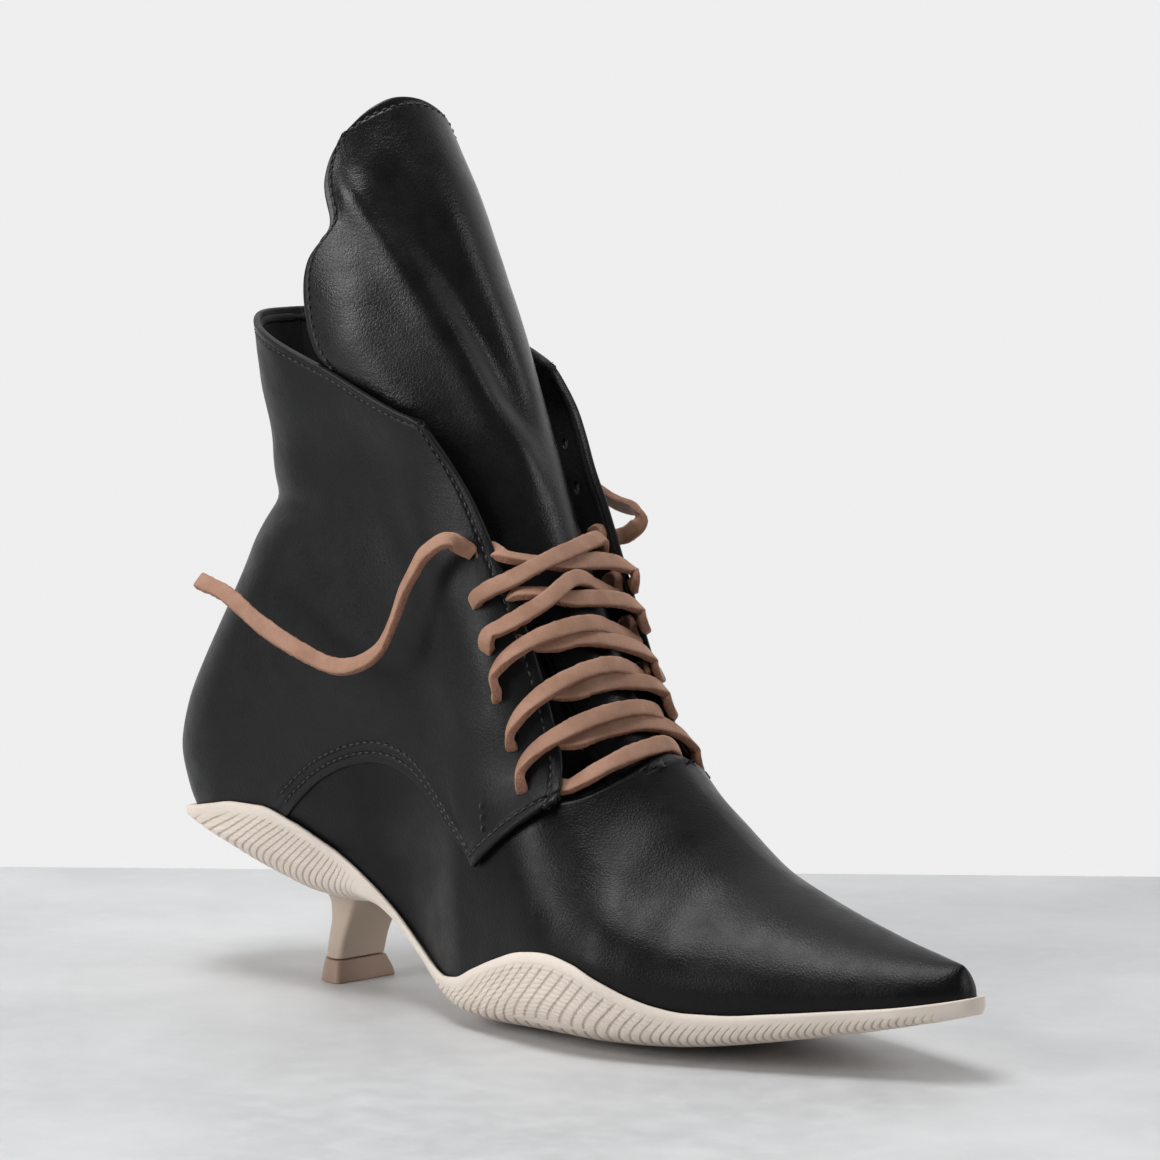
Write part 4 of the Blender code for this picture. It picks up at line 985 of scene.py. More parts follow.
def full_route():
    last = len(LACE_HOLE_Z) - 1

    def near(k):
        # the last points dive under the strand that comes back
        back_in = [0.0] * (len(NEAR_STRANDS[k]) - 4) + [-0.5, -2.0, -4.0, -5.6]
        pts = [vec(p, TO_EYE, m) for p, m in zip(NEAR_STRANDS[k], back_in)]
        end = pts[-1]
        tail = [(end[0] - 4.0, 18.0, end[2] - 4.0)]
        return leave(k, -1, pts[1], k < 3) + strand_keys(pts + tail, NEAR_TILT[k] + [30])[(0 if k < 3 else 1):] + arrive(k + 1, 1)

    def far(k):
        here, out, forward, _ = lace_hole(k, 1)
        fore = [1.6, 1.8, 1.8, 1.6, 1.2, 0.8] + [0.0] * 10
        pts = [vec(p, TO_EYE, m) for p, m in zip(FAR_STRANDS[k], fore)]
        a = pts[0]
        z_turn = a[2] - 1.6
        x_turn = tab(FLAP, "x_med", "z", z_turn) + 0.2
        tucked = 1.7 * smooth(66.0, 80.0, z_turn)
        side_run = [tuple(vec(vec(here, out, 1.3), forward, 2.2)), (x_turn, upper_y(x_turn, z_turn, 1) - tucked + 0.9, z_turn)]
        first = side_run + pts
        return leave(k, 1, side_run[1], False) + strand_keys(first, [26, 26] + FAR_TILT[k])[1:] + arrive(k + 1, -1)

    bar_points = [vec(p, TO_EYE, m) for p, m in zip(BAR, BAR_OUT)]
    bar = [row for row in arrive(0, -1)[::-1]] + strand_keys(bar_points, BAR_TILT) + arrive(0, 1)
    up_lateral, up_medial = [], []
    side = -1
    for k in range(last):
        up_lateral += near(k) if side < 0 else far(k)
        side = -side
    side = 1
    for k in range(last):
        up_medial += near(k) if side < 0 else far(k)
        side = -side
    # the climb that starts at the outer side's hole 0 ends at the inner side's top hole, or the reverse
    ends = []
    for start, rows in ((-1, up_lateral), (1, up_medial)):
        top = start * (-1) ** last
        here, out, _, _ = lace_hole(last, top)
        rows.append((*vec(here, out, 0.3), *rows[-1][3:]))
        ends.append(rows)
    return ends[0][::-1] + bar + ends[1]


def ribbon_path(rows, step=0.6):
    """Even points and width directions through keys of (point, face normal)."""
    rows = [np.array(r, float) for r in rows]
    for a, b in zip(rows, rows[1:]):
        if a[3:] @ b[3:] < 0:
            b[3:] = -b[3:]
    first, last_ = rows[0].copy(), rows[-1].copy()
    first[:3] = 2 * rows[0][:3] - rows[1][:3]
    last_[:3] = 2 * rows[-1][:3] - rows[-2][:3]
    keys = [first] + rows + [last_]
    dense = []
    for i in range(1, len(keys) - 2):
        p0, p1, p2, p3 = keys[i - 1:i + 3]
        # chordal spacing keeps tight turns at the holes free of loops
        d0, d1, d2 = (max(0.3, np.linalg.norm(b[:3] - a[:3])) ** 0.5 for a, b in ((p0, p1), (p1, p2), (p2, p3)))
        m1 = (p1 - p0) / d0 - (p2 - p0) / (d0 + d1) + (p2 - p1) / d1
        m2 = (p2 - p1) / d1 - (p3 - p1) / (d1 + d2) + (p3 - p2) / d2
        for j in range(16):
            t = j / 16
            dense.append((2 * t ** 3 - 3 * t * t + 1) * p1 + (t ** 3 - 2 * t * t + t) * m1 * d1
                         + (3 * t * t - 2 * t ** 3) * p2 + (t ** 3 - t * t) * m2 * d1)
    dense.append(keys[-2])
    path = even(np.array(dense)[:, :3], step)
    dense = np.array(dense)
    run = np.concatenate([[0], np.cumsum(np.linalg.norm(np.diff(dense[:, :3], axis=0), axis=1))])
    goal = np.linspace(0, run[-1], len(path))
    face = np.stack([np.interp(goal, run, dense[:, 3 + c]) for c in range(3)], 1)
    tangent = np.gradient(path, axis=0)
    tangent /= np.linalg.norm(tangent, axis=1)[:, None]
    kernel = np.ones(5) / 5
    face = np.stack([np.convolve(np.pad(face[:, c], 2, "edge"), kernel, "valid") for c in range(3)], 1)
    ups = np.cross(tangent, face)
    for i in range(len(ups)):
        size = np.linalg.norm(ups[i])
        ups[i] = ups[i] / size if size > 0.15 else ups[i - 1]
        if i and ups[i] @ ups[i - 1] < 0:
            ups[i] = -ups[i]
    return path, ups


route, route_up = ribbon_path(full_route())
holes_mm = [lace_hole(k, side)[0] for side in (-1, 1) for k in range(len(LACE_HOLE_Z))]
lacing = thong("lacing", route, route_up, [(h, 0.45 if k < 3 else 0.2) for k, h in enumerate(holes_mm)], 3)
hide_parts("laces")

# the loose ends, from the top holes outward
LOOSE_LATERAL = [(127.7, -33.8, 128.6), (122.5, -36.8, 124.7), (118.8, -37.0, 119.8), (116.0, -37.6, 115.0), (112.6, -38.6, 106.0),
                 (108.9, -40.0, 98.9), (103.0, -41.4, 94.9), (95.6, -43.0, 93.6), (83.8, -45.0, 97.1), (70.8, -47.0, 103.2),
                 (58.2, -48.0, 110.5), (47.9, -48.0, 113.3)]
LOOSE_LATERAL_TILT = [34, 36, 40, 44, 50, 42, 32, 28, 28, 30, 32, 34]
LOOSE_MEDIAL = [(129.8, 30.4, 125.3), (132.5, 31.2, 126.5), (135.1, 32.0, 129.2), (133.7, 33.4, 131.6), (130.7, 35.0, 132.6),
                (127.2, 36.4, 132.7), (120.0, 38.4, 133.6), (112.0, 39.4, 136.4), (104.0, 40.0, 139.6), (97.0, 40.5, 143.0)]
LOOSE_MEDIAL_TILT = [20, 20, 30, 40, 40, 34, 30, 26, 26, 26]


def free_end(name, points, tilts, side, node_name, seed):
    """A loose end of the thong, from its top hole outward."""
    here, out, forward, _ = lace_hole(len(LACE_HOLE_Z) - 1, side)
    d = np.array(points[0]) - np.array(here)
    d -= (d @ np.array(out)) * np.array(out)
    d /= np.linalg.norm(d)
    rows = [(*vec(here, out, 0.2), *(-d)), (*(np.array(vec(here, out, 1.8)) + d * 1.2), *(np.array(out) - 0.35 * d))]
    pts = np.array(points, float)
    run = np.gradient(pts, axis=0)
    for p, t, a in zip(pts, run, tilts):
        t = t / np.linalg.norm(t)
        n = np.array([0.25, side * 0.97, 0.0])
        n = n - (n @ t) * t
        n /= np.linalg.norm(n)
        w = np.cross(n, t)
        if w @ np.array([-0.4, 0.0, 0.9]) < 0:
            w = -w
        a = math.radians(a)
        rows.append((*p, *(n * math.cos(a) + w * math.sin(a))))
    pts, ups = ribbon_path(rows)
    obj = thong(name, pts, ups, [(here, 0.2)], seed)
    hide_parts(node_name)
    run = np.concatenate([[0], np.cumsum(np.linalg.norm(np.diff(pts, axis=0), axis=1))])
    path = metres(pts)
    return obj


end_lateral = free_end("thong_end_lateral", LOOSE_LATERAL, LOOSE_LATERAL_TILT, -1, "lace_end_lateral", 11)
end_medial = free_end("thong_end_medial", LOOSE_MEDIAL, LOOSE_MEDIAL_TILT, 1, "lace_end_medial", 12)


# --------------------------------------------------------- shells of leather
def grid_normals(P, side):
    du = np.gradient(P, axis=0)
    dv = np.gradient(P, axis=1)
    n = np.cross(du, dv)
    size = np.linalg.norm(n, axis=2)
    n /= np.maximum(size, 1e-9)[..., None]
    mid = n[n.shape[0] // 2, n.shape[1] // 2]
    if mid[1] * side < 0:
        n = -n
    return n


def run_lengths(P, axis):
    step = np.linalg.norm(np.diff(P, axis=axis), axis=2)
    zero = np.zeros((1, P.shape[1])) if axis == 0 else np.zeros((P.shape[0], 1))
    return np.concatenate([zero, np.cumsum(step, axis=axis)], axis=axis)


def shell(name, P, N, thick, mats, plain_sides=(), notch=0.22, steps=8):
    """Solid sheet: outer face P, inner face under it, soft rounded edges."""
    nu, nv, _ = P.shape
    N = N.copy()
    for i, i_in in ((0, 3), (nu - 1, nu - 4)):
        for j, j_in in ((0, 3), (nv - 1, nv - 4)):
            step_i, step_j = (1 if i == 0 else -1), (1 if j == 0 else -1)
            for a in range(3):
                for b in range(3):
                    N[i + step_i * a, j + step_j * b] = N[i_in, j_in]
    inner = P - N * thick
    index = np.arange(nu * nv).reshape(nu, nv)
    points = [*P.reshape(-1, 3), *inner.reshape(-1, 3)]
    faces, mat_of = [], []
    for i in range(nu - 1):
        for j in range(nv - 1):
            a, b, c, d = index[i, j], index[i + 1, j], index[i + 1, j + 1], index[i, j + 1]
            faces.append((a, b, c, d)); mat_of.append(0)
            off = nu * nv
            faces.append((a + off, d + off, c + off, b + off)); mat_of.append(1)
    du, dv = np.gradient(P, axis=0), np.gradient(P, axis=1)
    loop = [(i, 0, "bottom") for i in range(nu)] + [(nu - 1, j, "front") for j in range(1, nv)] \
        + [(i, nv - 1, "top") for i in range(nu - 2, -1, -1)] + [(0, j, "back") for j in range(nv - 2, 0, -1)]
    away = {"bottom": -dv, "top": dv, "front": du, "back": -du}
    outs = []
    for i, j, where in loop:
        sides = {where}
        if i == 0: sides.add("back")
        if i == nu - 1: sides.add("front")
        if j == 0: sides.add("bottom")
        if j == nv - 1: sides.add("top")
        t = np.zeros(3)
        for s in sides:
            if s in plain_sides:
                continue
            w = away[s][i, j]
            t += w / max(1e-9, np.linalg.norm(w))
        t -= (t @ N[i, j]) * N[i, j]
        size = np.linalg.norm(t)
        outs.append(t / size if size > 1e-6 else t * 0)
    rows = [[index[i, j] for i, j, _ in loop]]
    r = thick / 2
    for k in range(1, steps):
        a = math.pi * k / steps
        bulge = 1 - notch * math.exp(-((math.degrees(a) - 98) / 17) ** 2)
        row = []
        for (i, j, _), t in zip(loop, outs):
            c = P[i, j] - N[i, j] * r
            row.append(len(points))
            points.append(c + (N[i, j] * math.cos(a) + t * math.sin(a) * 0.85) * r * bulge
                          + N[i, j] * math.cos(a) * r * (1 - bulge))
        rows.append(row)
    rows.append([index[i, j] + nu * nv for i, j, _ in loop])
    count = len(loop)
    for k, (a, b) in enumerate(zip(rows, rows[1:])):
        for m in range(count):
            q = (m + 1) % count
            faces.append((a[m], b[m], b[q], a[q]))
            mat_of.append(0 if k < steps * 0.7 else 1)
    obj = make(name, points, faces, mats, mat_of)
    return outward_faces(obj)


def graded(count, ends=0.68):
    """0 to 1, closer together at both ends."""
    t = np.linspace(0, 1, count)
    return t - ends * np.sin(math.tau * t) / math.tau


def refine(poly, step=0.5):
    return even(poly, step)


def resample_on_face(poly, fractions, side, keep=()):
    """Points at fractions of the 3-D length of a side-view line on the last."""
    fine = refine(poly, 0.4)
    xyz = np.array([on_face(x, z, side) for x, z in fine])
    run = np.concatenate([[0], np.cumsum(np.linalg.norm(np.diff(xyz, axis=0), axis=1))])
    goal = np.array(fractions) * run[-1]
    out = np.stack([np.interp(goal, run, fine[:, k]) for k in range(2)], 1)
    for corner in keep:
        k = int(np.argmin(np.linalg.norm(out - np.array(corner), axis=1)))
        out[k] = corner
    return out


# the seam where a quarter laps the vamp's wing, from sole edge to flap point
ARCH = dict(
    x=[57.0, 64.0, 74.0, 86.0, 97.0, 108.0, 119.0, 130.0, 139.0],
    z=[47.8, 53.5, 60.5, 65.5, 67.0, 64.5, 58.5, 51.0, 44.5],
)
FLAP_FOOT = (161.0, 62.0)


def back_x(z):
    return tab(SHAFT, "back", "z", min(max(z, 40.0), 250.0))


def fillet(a, corner, b, radius, count=8):
    """Arc replacing a corner between two straight runs, as a list of points."""
    a, c, b = (np.array(p, float) for p in (a, corner, b))
    u, v = (a - c) / np.linalg.norm(a - c), (b - c) / np.linalg.norm(b - c)
    p, q = c + u * radius, c + v * radius
    out = []
    for k in range(count + 1):
        t = k / count
        out.append(tuple((1 - t) ** 2 * p + 2 * t * (1 - t) * c + t * t * q))
    return out


def quarter_borders(side):
    col = side_col(side)
    low = [(back_x(43.6) + 0.02, 43.6)] + [(x, bed_z(x) + 1.0) for x in (12, 18, 26, 34, 42, 49)] + [(53.5, 46.6)]
    arch = spline([(x, 0.0, z) for x, z in zip(ARCH["x"], ARCH["z"])], 60)
    bottom = low + [(p[0], p[2]) for p in arch] + [FLAP_FOOT]
    corner = (COLLAR_CORNER[side], tab(COLLAR, "z_" + col, "x", COLLAR_CORNER[side]))
    collar = [(lerp(back_x(184.0), corner[0], t), 0) for t in np.linspace(0, 1, 50)]
    collar = [(x, tab(COLLAR, "z_" + col, "x", x)) for x, _ in collar]
    front = []
    for z in np.linspace(FLAP_FOOT[1], corner[1], 60):
        x = tab(FLAP, "x_" + col, "z", z) - (tab(FLAP, "x_" + col, "z", corner[1]) - corner[0]) * smooth(140.0, corner[1], z)
        front.append((x, z))
    front[0] = FLAP_FOOT
    top_arc = fillet(collar[-4], corner, front[-5], 4.2)
    keep_c = [p for p in collar if p[0] < top_arc[0][0]]
    keep_f = [p for p in front if p[1] < top_arc[-1][1]]
    mid = len(top_arc) // 2
    top = keep_c + top_arc[:mid + 1]
    right = keep_f + top_arc[mid:][::-1]
    left = [(back_x(z), z) for z in np.linspace(43.6, collar[0][1], 60)]
    top[0] = left[-1]
    return bottom, right, top, left


def quarter_grid(side, nu=190, nv=150):
    bottom, right, top, left = quarter_borders(side)
    fu, fw = graded(nu, 0.6), graded(nv, 0.72)
    corner = (ARCH["x"][-1], ARCH["z"][-1])
    B = resample_on_face(bottom, fu, side, [corner])
    T = resample_on_face(top, fu, side)
    R = resample_on_face(right, fw, side)
    zl = np.interp(fw, np.linspace(0, 1, len(left)), [p[1] for p in left])
    L = np.stack([[back_x(z) for z in zl], zl], 1)

    def rel(a):
        return np.stack([[max(0.0, x - back_x(z)) for x, z in a], a[:, 1]], 1)

    B, T, R, L = rel(B), rel(T), rel(R), rel(L)
    u, w = fu[:, None, None], fw[None, :, None]
    G = (1 - w) * B[:, None] + w * T[:, None] + (1 - u) * L[None] + u * R[None] \
        - ((1 - u) * (1 - w) * B[0] + u * (1 - w) * B[-1] + (1 - u) * w * T[0] + u * w * T[-1])
    P = np.zeros((nu, nv, 3))
    for i in range(nu):
        for j in range(nv):
            z = G[i, j, 1]
            x = back_x(z) + max(0.0, G[i, j, 0])
            P[i, j] = (x, middle_y(x, z) if i == 0 else upper_y(x, z, side), z)
    return P


def folds_on_face(rows):
    """(side, [(x, z), ...], width, height, fade) in side view, laid on the last."""
    out = []
    for side, line, width, height, fade in rows:
        pts = spline([on_face(x, z, side) for x, z in line], 24) if len(line) > 2 else [on_face(*line[0], side), on_face(*line[1], side)]
        out.append((even(pts, 3.0), width, height, fade))
    return out


ANKLE_FOLDS = [
    (-1, [(33.6, 135.0), (44.0, 134.0), (58.0, 132.5), (74.0, 134.0)], 4.2, -1.25, 0.30),
    (1, [(33.6, 135.0), (44.0, 134.0), (58.0, 133.0), (70.0, 134.0)], 4.2, -1.2, 0.30),
    (-1, [(35.0, 146.0), (52.0, 146.0), (70.0, 142.0)], 7.0, 0.7, 0.35),
    (-1, [(30.0, 123.0), (50.0, 120.0), (70.0, 124.0)], 8.0, 0.7, 0.35),
    (-1, [(88.0, 140.0), (104.0, 122.0), (116.0, 100.0)], 7.0, -0.7, 0.4),
    (-1, [(100.0, 146.0), (116.0, 126.0), (126.0, 104.0)], 6.0, 0.5, 0.4),
    (-1, [(112.0, 96.0), (128.0, 84.0), (142.0, 70.0)], 6.0, 0.6, 0.4),
    (-1, [(96.0, 100.0), (112.0, 86.0), (126.0, 72.0)], 8.0, -0.5, 0.4),
    (1, [(92.0, 138.0), (108.0, 118.0), (120.0, 98.0)], 8.0, -0.8, 0.4),
    (1, [(100.0, 100.0), (116.0, 84.0), (130.0, 68.0)], 8.0, 0.6, 0.4),
]


def build_quarter(side):
    P = quarter_grid(side)
    nu, nv, _ = P.shape
    N = grid_normals(P, side)
    N[0, :, 1] = 0.0
    N[0] /= np.linalg.norm(N[0], axis=1)[:, None]
    for i in (1, 2):
        k = (3 - i) / 3
        N[i] = N[i] * (1 - k) + N[0] * k
        N[i] /= np.linalg.norm(N[i], axis=1)[:, None]
    up = run_lengths(P, 1)
    d_bottom, d_top = up, up[:, -1:] - up
    along = run_lengths(P, 0)
    d_back, d_front = along, along[-1:, :] - along
    x_low = P[:, 0, 0][:, None]
    x, z = P[..., 0], P[..., 2]
    on_seam = np_smooth(54.0, 60.0, x_low)
    on_flap = np_smooth(135.0, 143.0, x_low)
    lift = 0.25 + 0.55 * np.exp(-(d_bottom / 9.0) ** 2) * on_seam
    lift += 1.9 * np.exp(-d_bottom / 8.0) * on_flap
    edge = np.minimum(d_top, d_front)
    lift -= 0.36 * bump_at(edge, 2.4, 0.5)
    lift += 0.12 * np.exp(-(edge / 1.6) ** 2)
    lift -= 0.42 * bump_at(d_bottom, 2.3, 0.5) * on_seam
    lift -= 0.38 * bump_at(d_bottom, 5.0, 0.5) * on_seam * (1 - on_flap)
    lift -= 0.55 * np.exp(-(d_back / 0.9) ** 2)
    lift += 0.14 * bump_at(d_back, 2.2, 1.2)
    quiet = np_smooth(0.0, 10.0, d_top) * np_smooth(0, 8, d_back)
    lift += 0.30 * wave(P, 21.0, 1.0 + side) * quiet + 0.07 * wave(P, 5.0, 2.0) * quiet
    mine = [row for row in ANKLE_FOLDS if row[0] == side]
    lift += fold_field(P, folds_on_face(mine)) * np_smooth(0.0, 4.0, d_back + 3.4)
    ripple = np.sin(d_bottom / 9.5 + 0.6) * np.exp(-(d_front / 7.0) ** 2)
    Q = P + N * lift[..., None]
    if side > 0:
        tuck = np.exp(-(d_front / 18.0) ** 2) * (1 - np_smooth(140.0, 160.0, z)) * np_smooth(66.0, 80.0, z)
        Q[..., 1] -= 1.7 * tuck
    Q[..., 1] += side * 0.35 * ripple * np_smooth(8, 30, d_bottom) * np_smooth(4, 20, d_top)
    N2 = grid_normals(Q, side)
    N2[0] = N[0]
    N2[1] = (N2[1] + N[0]) / np.linalg.norm(N2[1] + N[0], axis=1)[:, None]
    return Q, N2, d_bottom, d_top, d_back, d_front


def cylinder_between(a, b, radius, around=20):
    """Loose cutter from a to b, in mm."""
    a, b = np.array(a, float), np.array(b, float)
    t = (b - a) / np.linalg.norm(b - a)
    e = np.cross(t, [0, 0, 1.0])
    e /= np.linalg.norm(e)
    f = np.cross(t, e)
    ring = [e * math.cos(k / around * math.tau) * radius + f * math.sin(k / around * math.tau) * radius for k in range(around)]
    return [a + r for r in ring], [b + r for r in ring]


SPARE_HOLES = dict(z=[138.2, 149.6], back=[10.5, 10.0])


def flap_hole(z, side, back):
    x = tab(FLAP, "x_" + side_col(side), "z", z) - back
    here = np.array(on_face(x, z, side))
    a, b = np.array(on_face(x + 1, z, side)), np.array(on_face(x, z + 1, side))
    n = np.cross(a - here, b - here)
    n /= np.linalg.norm(n)
    return here, (n if n[1] * side > 0 else -n)


def hole_cutter(side):
    points, faces = [], []
    spots = [(*[np.array(v) for v in lace_hole(k, side)[:2]], 2.05) for k in range(len(LACE_HOLE_Z))]
    spots += [(*flap_hole(z, side, back), 1.35) for z, back in zip(SPARE_HOLES["z"], SPARE_HOLES["back"])]
    for here, n, r in spots:
        a, b = cylinder_between(here - n * 6, here + n * 6, r)
        k, m = len(points), len(a)
        points += a + b
        faces += [(k + i, k + (i + 1) % m, k + m + (i + 1) % m, k + m + i) for i in range(m)]
        faces += [tuple(range(k + m - 1, k - 1, -1)), tuple(range(k + m, k + 2 * m))]
    mesh = bpy.data.meshes.new("hole_cutter")
    mesh.from_pydata([tuple(p) for p in metres(points)], [], faces)
    tool = bpy.data.objects.new("hole_cutter", mesh)
    bpy.context.scene.collection.objects.link(tool)
    return outward_faces(tool)


stitch_lines = {"quarters": [], "tongue": []}


def line_at(Q, N, distance, value, axis, where=None):
    """Points where a distance field reaches value, one for each row or column."""
    out = []
    count = Q.shape[0] if axis == 1 else Q.shape[1]
    for i in range(count):
        d = distance[i] if axis == 1 else distance[:, i]
        p = Q[i] if axis == 1 else Q[:, i]
        n = N[i] if axis == 1 else N[:, i]
        order = np.argsort(d)
        if d.max() < value:
            continue
        point = [np.interp(value, d[order], p[order, k]) for k in range(3)]
        normal = [np.interp(value, d[order], n[order, k]) for k in range(3)]
        if where is None or where(i):
            out.append(point + normal)
    return np.array(out)


quarters = []
for side, name in ((-1, "quarter_lateral"), (1, "quarter_medial")):
    Q, N, d_bottom, d_top, d_back, d_front = build_quarter(side)
    obj = shell(name, Q, N, 1.9, [QUARTER_LEATHER, LINING], plain_sides=("back",))
    cut(obj, hole_cutter(side))
    quarters.append(obj)
    x_low = Q[:, 0, 0]
    top_ok = lambda i, f=d_front: f[i, -1] > 2.6
    stitch_lines["quarters"].append(line_at(Q, N, d_top, 2.4, 1, top_ok))
    stitch_lines["quarters"].append(line_at(Q, N, d_front, 2.4, 0, lambda j, t=d_top: t[-1, j] > 2.6))
    stitch_lines["quarters"].append(line_at(Q, N, d_bottom, 2.3, 1, lambda i, xl=x_low, f=d_front: xl[i] > 58.0 and f[i, 0] > 2.5))
    stitch_lines["quarters"].append(line_at(Q, N, d_bottom, 5.0, 1, lambda i, xl=x_low: 58.5 < xl[i] < 139.5))
    # the short upright tack above the flap's point
    a, b = on_face(143.2, 53.0, side), on_face(141.2, 61.5, side)
    n = flap_hole(76.0, side, 20.0)[1]
    tack = even([a, b], 0.8)
    stitch_lines["quarters"].append(np.concatenate([tack + n * 1.75, np.tile(n, (len(tack), 1))], 1))

# the tongue's face, by height t and by turn round from its front line
TONGUE_FORM = dict(
    t=[0.00, 0.10, 0.22, 0.36, 0.50, 0.62, 0.72, 0.82, 0.92, 1.00],
    wl=[12.0, 14.0, 15.0, 15.6, 16.8, 20.0, 25.5, 29.0, 29.0, 28.0],
    wm=[12.0, 14.0, 15.0, 15.6, 16.8, 19.5, 23.5, 26.0, 26.0, 25.0],
    d=[12.0, 14.0, 15.0, 15.6, 18.0, 23.0, 30.0, 36.0, 37.0, 36.0],
)
# outline of the sheet: how far up, and how far round from the front line
TONGUE_LATERAL = dict(
    t=[0.02, 0.15, 0.36, 0.50, 0.62, 0.72, 0.816, 0.855, 0.887, 0.907, 0.917, 0.924, 0.931, 0.940, 0.950, 0.962, 0.973, 0.986, 0.998],
    turn=[-60.0, -61.0, -68.0, -78.0, -90.0, -97.0, -99.0, -96.0, -91.0, -85.0, -79.0, -73.0, -68.5, -66.6, -66.0, -65.0, -62.5, -56.5, -47.0],
)
TONGUE_TOP = dict(
    t=[0.998, 1.006, 1.010, 1.012, 1.010, 1.004, 0.996],
    turn=[-47.0, -36.0, -27.0, -17.0, -5.0, 9.0, 24.0],
)
TONGUE_MEDIAL = dict(
    t=[0.02, 0.15, 0.36, 0.50, 0.62, 0.72, 0.80, 0.85, 0.89, 0.92, 0.945, 0.965, 0.982, 0.996],
    turn=[60.0, 61.0, 68.0, 78.0, 88.0, 95.0, 98.0, 96.0, 90.0, 80.0, 68.0, 55.0, 40.0, 24.0],
)


def tongue_face(t, turn):
    x, y, z = (tab(TONGUE, c, "t", t) for c in ("x", "y", "z"))
    x2, z2 = tab(TONGUE, "x", "t", t + 0.01), tab(TONGUE, "z", "t", t + 0.01)
    length = math.hypot(x2 - x, z2 - z)
    nx, nz = -(z2 - z) / length, (x2 - x) / length
    a = math.radians(turn)
    width = tab(TONGUE_FORM, "wl" if turn < 0 else "wm", "t", t)
    depth = tab(TONGUE_FORM, "d", "t", t) * (1 - math.cos(a))
    return (x + nx * depth, y + width * math.sin(a), z + nz * depth)


# --------------------------------------------------------------------- vamp
WING = dict(
    x=[46.0, 57.0, 64.0, 74.0, 86.0, 97.0, 108.0, 119.0, 130.0, 140.0, 150.0, 161.5],
    z=[49.0, 54.5, 60.5, 67.5, 72.5, 74.0, 71.5, 67.5, 64.0, 62.5, 62.5, 66.5],
)
VAMP_FOLDS = []


def vamp_top(s, side):
    if s >= 0.62:
        return 1.0
    lo, hi = 0.0, 1.0
    for _ in range(24):
        v = (lo + hi) / 2
        x, y, z = upper_point(s, v, side)
        if z < tab(WING, "z", "x", min(max(x, 46.0), 161.5)):
            lo = v
        else:
            hi = v
    return lo


